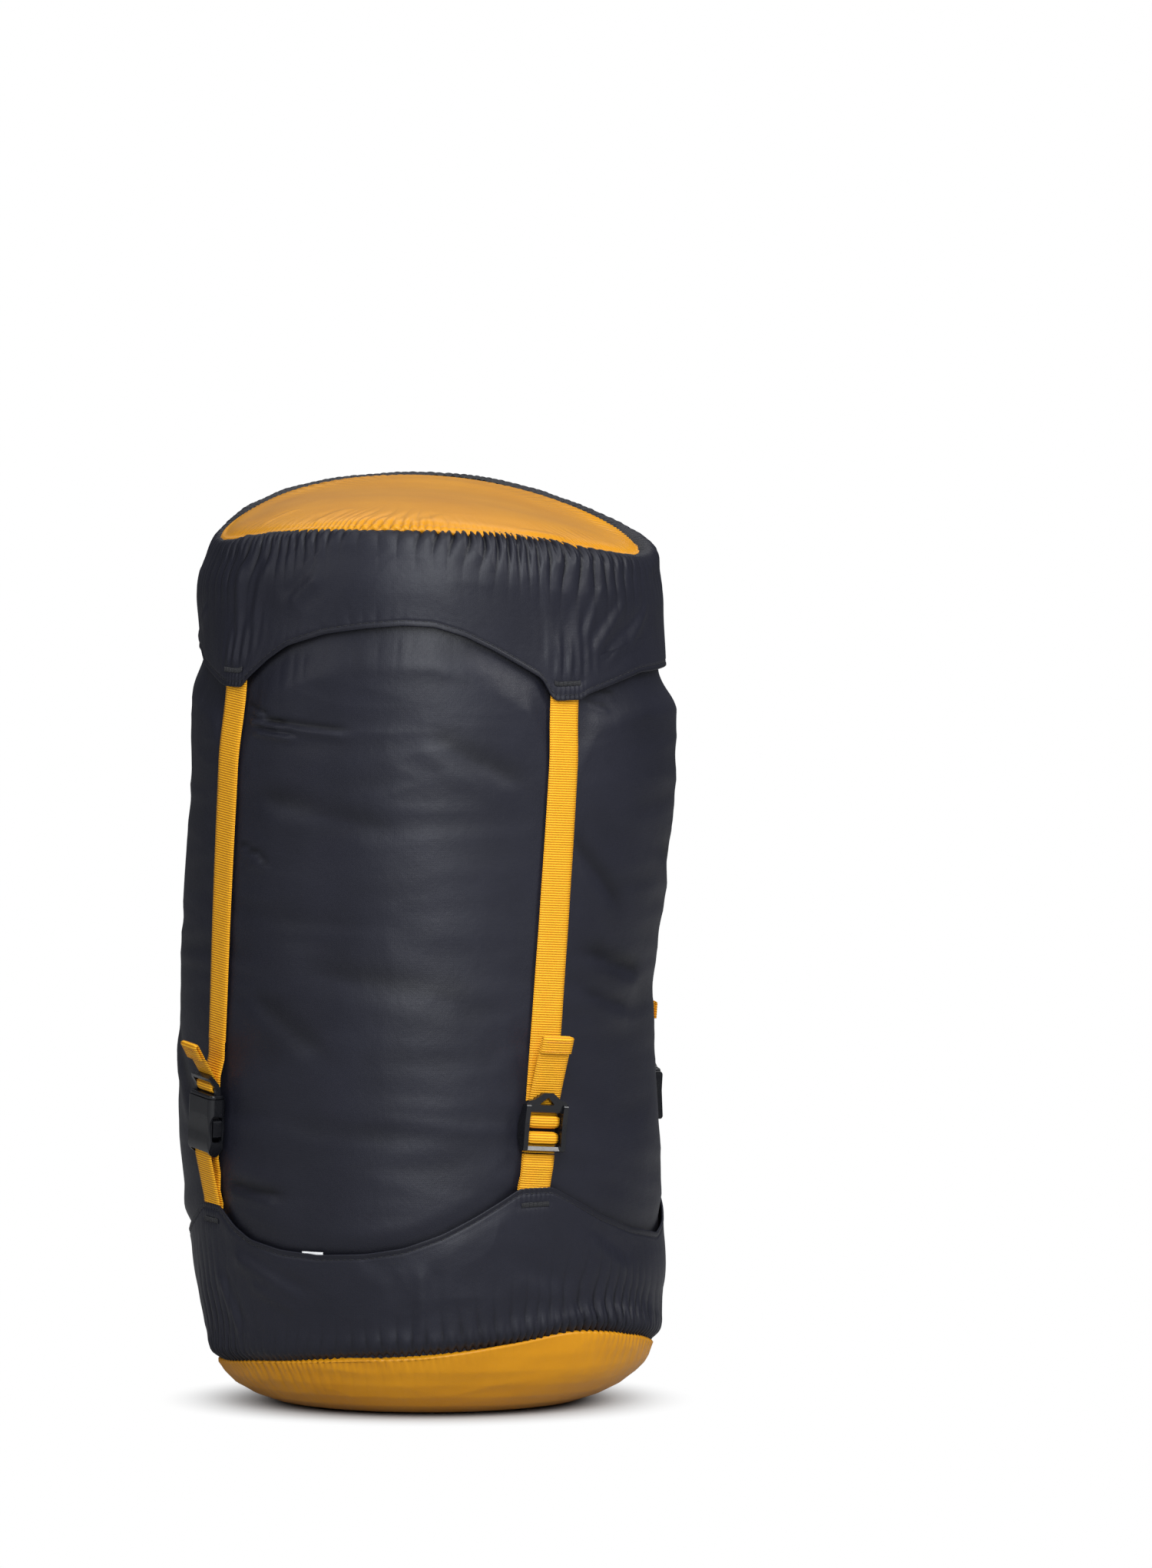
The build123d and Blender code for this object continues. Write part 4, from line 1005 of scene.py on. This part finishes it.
def tape_section(steps=9):
    """Half-height profile across the webbing: places from -1 to 1 and how thick it is there."""
    across = np.linspace(-1, 1, steps)
    return across, np.sqrt(np.maximum(1 - np.abs(across) ** 7, 0)) * 0.5 + 0.02


def tape(name, centres, normals, sides, seed=1):
    """Ribbed webbing swept along centres; sides point across it and normals out of its face."""
    length = run_of(centres)
    count = max(3, int(round(length[-1] / (RIB / 2))) + 1)
    at = np.linspace(0, length[-1], count)
    c, n, b = placed(centres, length, at), unit(placed(normals, length, at)), unit(placed(sides, length, at))
    across, half = tape_section()
    rib = np.where(np.arange(count) % 2 == 0, 1.0, -1.0)
    rng = np.random.default_rng(seed)
    drift = rng.normal(0, 0.08 * MM, max(4, count // 30))
    drift[[0, -1]] = 0
    drift = np.interp(at, np.linspace(0, length[-1], len(drift)), drift)
    wide = WEB_WIDTH / 2 + 0.09 * MM * rib
    thick = WEB + 0.10 * MM * rib
    spread = np.concatenate([across, across[::-1]])  # out along one face and back along the other
    raised = np.concatenate([half, -half[::-1]])
    rings = c[:, None] + b[:, None] * (spread[None, :, None] * wide[:, None, None] + drift[:, None, None])
    rings = rings + n[:, None] * (raised[None, :, None] * thick[:, None, None])
    k = rings.shape[1]
    uv = np.stack(np.broadcast_arrays((spread * WEB_WIDTH / 2)[None, :], at[:, None]), -1).reshape(-1, 2)
    piece = make(name, rings.reshape(-1, 3), grid_faces(count, k), TAPE, uv)
    form = bmesh.new()
    form.from_mesh(piece.data)
    form.verts.ensure_lookup_table()
    for ring in (range(k), range((count - 1) * k, count * k)):
        form.faces.new([form.verts[i] for i in ring])
    bmesh.ops.recalc_face_normals(form, faces=form.faces)
    form.to_mesh(piece.data)
    form.free()
    return piece


def flat_tape(name, place, path, foot=0.0, seed=1):
    """Webbing on a path of (depth, height) in millimetres, in the upright plane of one strap."""
    depth, height = path[:, 0] * MM, path[:, 1] * MM + foot
    centres = np.stack([np.zeros(len(path)), -WALL_R - depth, height], -1)
    along = unit(np.gradient(path, axis=0))
    normals = np.stack([np.zeros(len(path)), -along[:, 1], -along[:, 0]], -1)
    sides = np.tile([1.0, 0.0, 0.0], (len(path), 1))
    m = np.array(place)
    turn, shift = m[:3, :3], m[:3, 3]
    return tape(name, centres @ turn.T + shift, normals @ turn.T, sides @ turn.T, seed)


LOCK_FOOT, SOCKET_FOOT = 0.1174, 0.1114  # lower ends of the buckles
LOCK_AT, SOCKET_AT = LOCK_FOOT + 0.0124, SOCKET_FOOT + 0.01285  # and their middles
STRAP_TOP = 0.334  # the sewn end, under the skirt
STRAP_OUT, STRAP_TUCKED = 0.9, 2.6  # millimetres out from the wall, and back in under the skirt's edge


def strap_run(name, low):
    """Strap from under the skirt down to its buckle, along the leaning strap line."""
    heights = np.linspace(STRAP_TOP, low, 120)
    depth = (STRAP_OUT - STRAP_TUCKED * smooth(heights, 0.282, 0.318)) * MM
    depth += 0.25 * MM * np.sin(np.clip((heights - low) / (0.3 - low), 0, 1) * math.pi)
    theta = math.radians(STRAPS[name]) + swing(heights)
    r = WALL_R + depth
    centres = np.stack([r * np.sin(theta), -r * np.cos(theta), heights], -1)
    outward = np.stack([np.sin(theta), -np.cos(theta), 0 * theta], -1)
    along = unit(np.gradient(centres, axis=0))
    sides = unit(np.cross(along, outward))
    normals = np.cross(sides, along)
    piece = tape(f"{name}_strap", centres, normals, -sides, seed=names.index(name) + 5)
    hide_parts(f"{name}_strap_root", f"{name}_strap_run")
    return piece


def tail_pieces(name, place, behind, exit_at, foot):
    """Free end of a strap: a leaning strip, and its folded and stitched hem."""
    lean = math.radians(TAIL_LEAN[name])
    out = np.array([math.sin(lean), math.cos(lean)])
    across = np.array([math.cos(lean), -math.sin(lean)])
    exit_at = np.array(exit_at)
    plain, reach = TAIL_LENGTH[name] - TAIL_HEM + 0.2, TAIL_HEM - 0.8
    curl = [exit_at + out * t * plain + across * 0.35 * t**2 for t in np.linspace(0.02, 1, 14)]
    strip = flat_tape(f"{name}_tail_strip", place, np.concatenate([behind, curl]), foot, seed=31)
    top = exit_at + out * plain + across * 0.35
    loop = [top + out * 0.05, top + out * reach]
    for a in np.linspace(-90, 90, 9):
        t = math.radians(a)
        turned = FOLD_GAP / 2 * math.cos(t)
        loop.append(top + out * (reach + turned) + across * (FOLD_GAP / 2 + FOLD_GAP / 2 * math.sin(t)))
    loop += [top + out * reach + across * FOLD_GAP, top + out * 0.2 + across * FOLD_GAP]
    hem = flat_tape(f"{name}_tail_fold", place, np.array(loop), foot, seed=33)
    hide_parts(f"{name}_tail")
    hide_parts(f"{name}_tail_hem")
    m = np.array(place)

    def world(p, x=0.0):
        return Vector(m[:3, :3] @ np.array([x * MM, -WALL_R - p[0] * MM, p[1] * MM + foot]) + m[:3, 3])

    rows = []
    for side in (1.2, reach - 1.2):
        spot = top + out * side + across * (FOLD_GAP + 0.62)
        rows.append(np.array([world(spot, x) for x in np.linspace(-5.8, 5.8, 9)]))
    sewing = stitches(f"{name}_tail_stitches", rows, 0.22 * MM, OCHRE_THREAD, 0.95)
    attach(hem, f"{name}_tail")
    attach(sewing, f"{name}_tail")
    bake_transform(strip)


def stitches(name, lines, radius, material, share=0.8, closed=False):
    """Thread along rows of points: one small rounded stitch from each point to the next."""
    points, faces = [], []
    base, sides = 0, 6
    ring = [(math.cos(TURN * i / sides), math.sin(TURN * i / sides)) for i in range(sides)]
    profile = [(0.0, 0.25), (0.12, 0.85), (0.5, 1.0), (0.88, 0.85), (1.0, 0.25)]
    for line in lines:
        line = np.asarray(line)
        ends = list(zip(line[:-1], line[1:])) + ([(line[-1], line[0])] if closed else [])
        for a, b in ends:
            d = b - a
            length = np.linalg.norm(d)
            d = d / length
            side = np.cross(d, [0.3, 0.2, 0.93])
            side /= np.linalg.norm(side)
            up = np.cross(side, d)
            start = a + d * length * (1 - share) / 2
            for t, size in profile:
                c = start + d * length * share * t
                for u, w in ring:
                    points.append(c + (side * u + up * w) * radius * size)
            for i in range(len(profile) - 1):
                low, high = base + i * sides, base + (i + 1) * sides
                for j in range(sides):
                    k = (j + 1) % sides
                    faces.append((low + j, low + k, high + k, high + j))
            faces.append(tuple(base + j for j in reversed(range(sides))))
            faces.append(tuple(base + (len(profile) - 1) * sides + j for j in range(sides)))
            base += len(profile) * sides
    piece = make(name, np.array(points), faces, material)
    return piece


# Webbing paths are (distance out from the wall, height) in millimetres, with the radius of each bend.
def side_release_webbing(name, place, slope, tip):
    """Anchor through the socket's bar, and the strap's turn round the bar of the plug."""
    anchor_path = rounded(
        [(-1.1, tip - 14), (-1.1, tip + 1), (0.6, tip + 7), (0.75, 104.5), (2.0, 110.5), (2.0, 115.1),
         (5.6, 115.1), (5.6, 111.2), (0.7, tip + 2), (0.3, tip - 1)],
        [4, 4, 4, 4, 1.79, 1.79, 4, 2],
    )
    anchor = flat_tape(f"{name}_anchor_tape", place, anchor_path, 0.0, seed=7)
    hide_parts(f"{name}_anchor")
    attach(anchor, "sack")
    wrap_path = rounded(
        [(0.9, 50.3), (0.9, 43), (2.6, 35.3), (2.6, 28.5), (6.2, 28.5), (6.2, 32.0)],
        [6, 6, 1.79, 1.79],
    )
    exit_at = (4.1 + 2.3 * slope, 35.7)
    behind = rounded([(6.2, 32.0), (6.15, 32.2), (4.1, 32.15), (4.1, 33.6), exit_at], [0.2, 0.9, 1.0])
    return wrap_path, behind, exit_at


def ladder_lock_webbing(name, place, slope, tip):
    """Anchor in two layers up to where it flexes, its loop round the lock's bar, and the strap's turn."""
    back = rounded(
        [(-1.1, tip - 14), (-1.1, tip + 0.5), (0.7, tip + 6), (0.9, 110.5), (0.9, 115.95)], [4, 4, 4]
    )
    fore = rounded([(0.3, tip - 1), (0.8, tip + 2), (2.4, 110.5), (2.4, 115.95)], [3, 3])
    loop = rounded(
        [(0.9, -0.8), (0.9, 7.95), (5.05, 7.95), (5.05, 3.525), (2.4, 3.525), (2.4, -0.8)],
        [1.94, 1.94, 1.2, 1.2],
    )
    holder = f"{name}_ladder_lock"
    loop_piece = flat_tape(f"{name}_loop_tape", place, loop, LOCK_FOOT, seed=9)
    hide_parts(f"{name}_anchor_loop")
    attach(loop_piece, holder)
    anchor = flat_tape(f"{name}_anchor_tape", place, back, 0.0, seed=7)
    front_layer = flat_tape(f"{name}_anchor_tape_front", place, fore, 0.0, seed=8)
    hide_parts(f"{name}_anchor")
    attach(anchor, "sack")
    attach(front_layer, "sack")
    wrap_path = rounded(
        [(0.9, 28.5), (0.9, 10.45), (5.05, 10.45), (5.05, 15.0), (2.4, 15.0), (2.4, 17.2)],
        [1.94, 1.94, 1.2, 1.2],
    )
    exit_at = (2.4 + 8.5 * slope, 26.1)
    behind = rounded([(2.4, 17.25), (2.4, 17.6), exit_at], [4])
    return wrap_path, behind, exit_at


for name in STRAPS:
    if name in SIDE_RELEASE:
        place, foot, low = on_strap(name, SOCKET_AT), SOCKET_FOOT, SOCKET_FOOT + 0.0500
        holder, webbing = f"{name}_plug", side_release_webbing
    else:
        place, foot, low = on_strap(name, LOCK_AT), LOCK_FOOT, LOCK_FOOT + 0.0282
        holder, webbing = f"{name}_ladder_lock", ladder_lock_webbing
    slope = math.tan(math.radians(TAIL_LEAN[name]))
    wrap_path, behind, exit_at = webbing(name, place, slope, CUFF_POINT[name] / MM)
    wrap = flat_tape(f"{name}_wrap_tape", place, wrap_path, foot, seed=11)
    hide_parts(f"{name}_strap_wrap")
    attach(wrap, holder)
    run = strap_run(name, low)
    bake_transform(run)
    tail_pieces(name, place, behind, exit_at, foot)


# ---- sewing ----
def level_line(points, s, level):
    """The line on a tube of cloth at this distance from its edge."""
    line = []
    for j in range(points.shape[1]):
        line.append([np.interp(level, s[:, j], points[:, j, k]) for k in range(3)])
    return np.array(line)


def seam_line(points, s, level, spacing, out):
    """Evenly spaced places for stitches along a level line, this far out of the cloth."""
    line = level_line(points, s, level)
    line = np.concatenate([line, line[:1]])
    run = run_of(line)
    row = placed(line, run, np.linspace(0, run[-1], int(run[-1] / spacing), endpoint=False))
    flat = np.hypot(row[:, 0], row[:, 1])[:, None]
    row[:, :2] *= 1 + out / flat
    return row


def bar_tack(rows_points, s, name, level):
    """Dense upright stitches side by side, over one scallop's tip."""
    theta0 = math.radians(STRAPS[name]) + float(swing(level))
    lines = []
    angles = columns_of(rows_points.shape[1])
    rows = [level_line(rows_points, s, 5.6 * MM), level_line(rows_points, s, 7.9 * MM)]
    for x in np.linspace(-6.4, 6.4, 29):
        want = (theta0 + x * MM / WALL_R) % TURN
        pair = np.array([[np.interp(want, angles, row[:, k], period=TURN) for k in range(3)] for row in rows])
        pair[:, :2] *= 1 + 0.2 * MM / np.hypot(pair[:, 0], pair[:, 1])[:, None]
        lines.append(pair)
    return lines


for points, s, body, label, levels in (
    (skirt_points, skirt_s, "lid", "skirt", LID_POINT),
    (cuff_points, cuff_s, "sack", "cuff", CUFF_POINT),
):
    hem_line = seam_line(points, s, 1.9 * MM, 3.2 * MM, 0.05 * MM)
    hem = stitches(f"{label}_hem_stitches", [hem_line], 0.2 * MM, THREAD, 0.82, closed=True)
    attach(hem, body)
    tacks = []
    for name in STRAPS:
        tacks += bar_tack(points, s, name, levels[name])
    tack = stitches(f"{label}_bar_tack_stitches", tacks, 0.24 * MM, THREAD, 1.0)
    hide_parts("lid_bar_tacks" if body == "lid" else "base_bar_tacks")
    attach(tack, body)


# ---- blank tag, gathered top and its hem ----
def tag_piece():
    """Blank ribbon that hangs out under the cuff's edge."""
    low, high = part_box("care_tag")
    middle = (low + high) / 2
    theta0 = math.atan2(middle.x, -middle.y)
    u, v = np.meshgrid(np.linspace(-5 * MM, 5 * MM, 13), np.linspace(low.z, high.z, 15))
    theta = theta0 + u / WALL_R
    r = cuff_radius(theta, v) - 0.9 * MM + 0.9 * MM * smooth(v, high.z - 4 * MM, high.z)
    r = r + 0.2 * MM * np.sin(u / MM * 0.7) * smooth(v, low.z, high.z)
    outer = ring_points(theta, r, v)
    inner = ring_points(theta, r - 0.35 * MM, v)
    rows, columns = v.shape
    points = np.concatenate([outer.reshape(-1, 3), inner.reshape(-1, 3)])
    shift = rows * columns
    faces = [tuple(f) for f in grid_faces(rows, columns, wrap=False)]
    faces += [tuple(f[::-1] + shift) for f in grid_faces(rows, columns, wrap=False)]
    rim = [j for j in range(columns)] + [i * columns + columns - 1 for i in range(1, rows)]
    rim += [(rows - 1) * columns + j for j in range(columns - 2, -1, -1)]
    rim += [i * columns for i in range(rows - 2, 0, -1)]
    for a, b in zip(rim, rim[1:] + rim[:1]):
        faces.append((b, a, a + shift, b + shift))
    uv = np.concatenate([np.stack([u, v], -1).reshape(-1, 2)] * 2)
    piece = make("tag_ribbon", points, np.array(faces), TAG_CLOTH, uv)
    return piece


tag = tag_piece()


def top_piece():
    """Gathered cloth over the contents, drawn in to the corded mouth, under the lid."""
    columns = 360
    theta = columns_of(columns)[None, :]
    low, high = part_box("gathered_top")
    mouth_low, mouth_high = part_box("mouth_hem")
    mouth_r = (mouth_high.x - mouth_low.x) / 2
    outer = (high.x - low.x) / 2
    profile = np.array([  # radius and height
        (outer, low.z), (outer, low.z + 3 * MM), (outer - 1 * MM, low.z + 6 * MM),
        (outer - 5 * MM, low.z + 9 * MM), (outer - 13 * MM, high.z - 8 * MM),
        (mouth_r + 16 * MM, high.z - 3 * MM), (mouth_r + 4 * MM, high.z - 1 * MM),
    ])
    t = np.linspace(0, 6, 60)
    r = np.interp(t, range(7), profile[:, 0])[:, None] - 0.6 * MM
    z = np.interp(t, range(7), profile[:, 1])[:, None]
    theta = np.broadcast_to(theta, (60, columns))
    inset = np.clip((outer - r) / (outer - mouth_r), 0, 1)
    relief = (pleats(theta, 1 - inset, 96, 61) - 0.6) * inset * 1.1
    z = np.broadcast_to(z, theta.shape)
    room = skirt_radius(theta, z) - 3.5 * MM - 9 * MM * smooth(z, 0.344, 0.372)
    r = np.minimum(np.broadcast_to(r, theta.shape), room)
    points = ring_points(theta, r, z + relief * MM)
    return tube("gathered_top_cloth", points, BLACK_CLOTH)


def hem_piece():
    """Corded hem round the mouth."""
    columns, around_hem = 300, 18
    low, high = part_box("mouth_hem")
    tube_r = (high.z - low.z) / 2
    ring_r = (high.x - low.x) / 2 - tube_r
    theta = columns_of(columns)[None, :]
    phi = np.linspace(0, TURN, around_hem + 1)[:, None]
    wave = 0.25 * MM * np.cos(48 * theta + 2 * np.sin(3 * theta)) * (0.5 - 0.5 * np.cos(phi))
    r = ring_r + (tube_r - 0.3 * MM + wave) * np.cos(phi)
    z = (low.z + high.z) / 2 + (tube_r - 0.3 * MM + wave) * np.sin(phi)
    return tube("mouth_hem_cloth", ring_points(np.broadcast_to(theta, r.shape), r, z), BLACK_CLOTH)


top = top_piece()
mouth_hem = hem_piece()

# ---- what moves with what ----
for piece, node, body, slot in (
    (skirt, "lid_skirt", "lid", "black_fabric"),
    (panel, "lid_panel", "lid", "ochre_fabric"),
    (cuff, "base_cuff", "sack", "black_fabric"),
    (bowl, "base_panel", "sack", "ochre_fabric"),
    (tag, "care_tag", "sack", "tag_fabric"),
    (top, "gathered_top", "mouth", "black_fabric"),
    (mouth_hem, "mouth_hem", "mouth", "black_fabric"),
):
    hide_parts(node)
    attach(piece, body)
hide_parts("sack_wall")
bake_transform(wall)

for node, piece in frame["nodes"].items():
    if piece.hide_render:
        continue
    finish = EYELET if node == "mouth_eyelets" else PLASTIC
    piece.data.materials.clear()
    piece.data.materials.append(finish)


# ---- studio ----
def soft_light(name, place, target, size, power, colour):
    light = bpy.data.lights.new(name, "AREA")
    light.shape = "RECTANGLE"
    light.size, light.size_y = size
    light.energy = power
    light.color = colour
    lamp = bpy.data.objects.new(name, light)
    bpy.context.scene.collection.objects.link(lamp)
    lamp.location = place
    lamp.rotation_euler = (target - place).to_track_quat("-Z", "Y").to_euler()


def white_world():
    """Dim grey for the light it gives, and white where it is seen."""
    world = bpy.data.worlds.new("studio")
    world.use_nodes = True
    bpy.context.scene.world = world
    tree = world.node_tree
    ray = add(tree, "ShaderNodeLightPath")
    seen = worked(tree, "MAXIMUM", ray.outputs["Is Camera Ray"], ray.outputs["Is Transmission Ray"])
    back = tree.nodes["Background"]
    tree.links.new(shaded(tree, seen, (0.10, 0.105, 0.12, 1), (1, 1, 1, 1)), back.inputs["Color"])
    settle(back, Strength=1.0)


def white_floor():
    """Paper that takes the sack's shadow close to it, and is plain white further out."""
    mesh = bpy.data.meshes.new("floor")
    mesh.from_pydata([(-6, -6, 0), (6, -6, 0), (6, 6, 0), (-6, 6, 0)], [], [(0, 1, 2, 3)])
    floor = bpy.data.objects.new("floor", mesh)
    bpy.context.scene.collection.objects.link(floor)
    material, tree, shader = fresh("white_paper")
    settle(shader, Base_Color=(0.42, 0.42, 0.42, 1), Roughness=0.9, Specular_IOR_Level=0.1)
    bright = add(tree, "ShaderNodeEmission", Color=(1, 1, 1, 1))
    coords = add(tree, "ShaderNodeTexCoord")
    reach = add(tree, "ShaderNodeVectorMath", operation="LENGTH")
    tree.links.new(coords.outputs["Object"], reach.inputs[0])
    fade = add(tree, "ShaderNodeMapRange", interpolation_type="SMOOTHSTEP", From_Min=0.062, From_Max=0.118)
    tree.links.new(reach.outputs["Value"], fade.inputs["Value"])
    ray = add(tree, "ShaderNodeLightPath")
    only_seen = worked(tree, "MULTIPLY", fade.outputs["Result"], ray.outputs["Is Camera Ray"])
    both = add(tree, "ShaderNodeMixShader")
    for source, socket in zip((only_seen, shader.outputs[0], bright.outputs[0]), both.inputs):
        tree.links.new(source, socket)
    tree.links.new(both.outputs[0], tree.nodes["Material Output"].inputs["Surface"])
    mesh.materials.append(material)
    return floor


white_world()
floor = white_floor()
view = Vector((math.sin(AZIMUTH), -math.cos(AZIMUTH), 0))
side = Vector((math.cos(AZIMUTH), math.sin(AZIMUTH), 0))
middle = Vector((0, 0, 0.2))
for label, place, target, size, power, colour in (
    ("overhead", view * 0.5 + Vector((0, 0, 1.6)), middle, (1.6, 1.4), 12, (1, 1, 1)),
    ("front", view * 1.9 + side * 0.15 + Vector((0, 0, 0.85)), middle, (0.8, 1.6), 40, (0.93, 0.96, 1.0)),
    ("right_fill", side * 1.7 + view * 0.9 + Vector((0, 0, 1.3)), middle, (0.7, 1.2), 28, (1, 1, 1)),
    ("left_fill", view * 0.9 - side * 1.8 + Vector((0, 0, 0.8)), middle, (0.5, 1.2), 7, (1, 1, 1)),
    ("back_top", Vector((0, 0, 1.5)) - view * 1.3, middle + Vector((0, 0, 0.15)), (1.6, 0.6), 6, (1, 1, 1)),
):
    soft_light(label, middle + place, target, size, power, colour)

bpy.context.scene.view_settings.view_transform = "Standard"
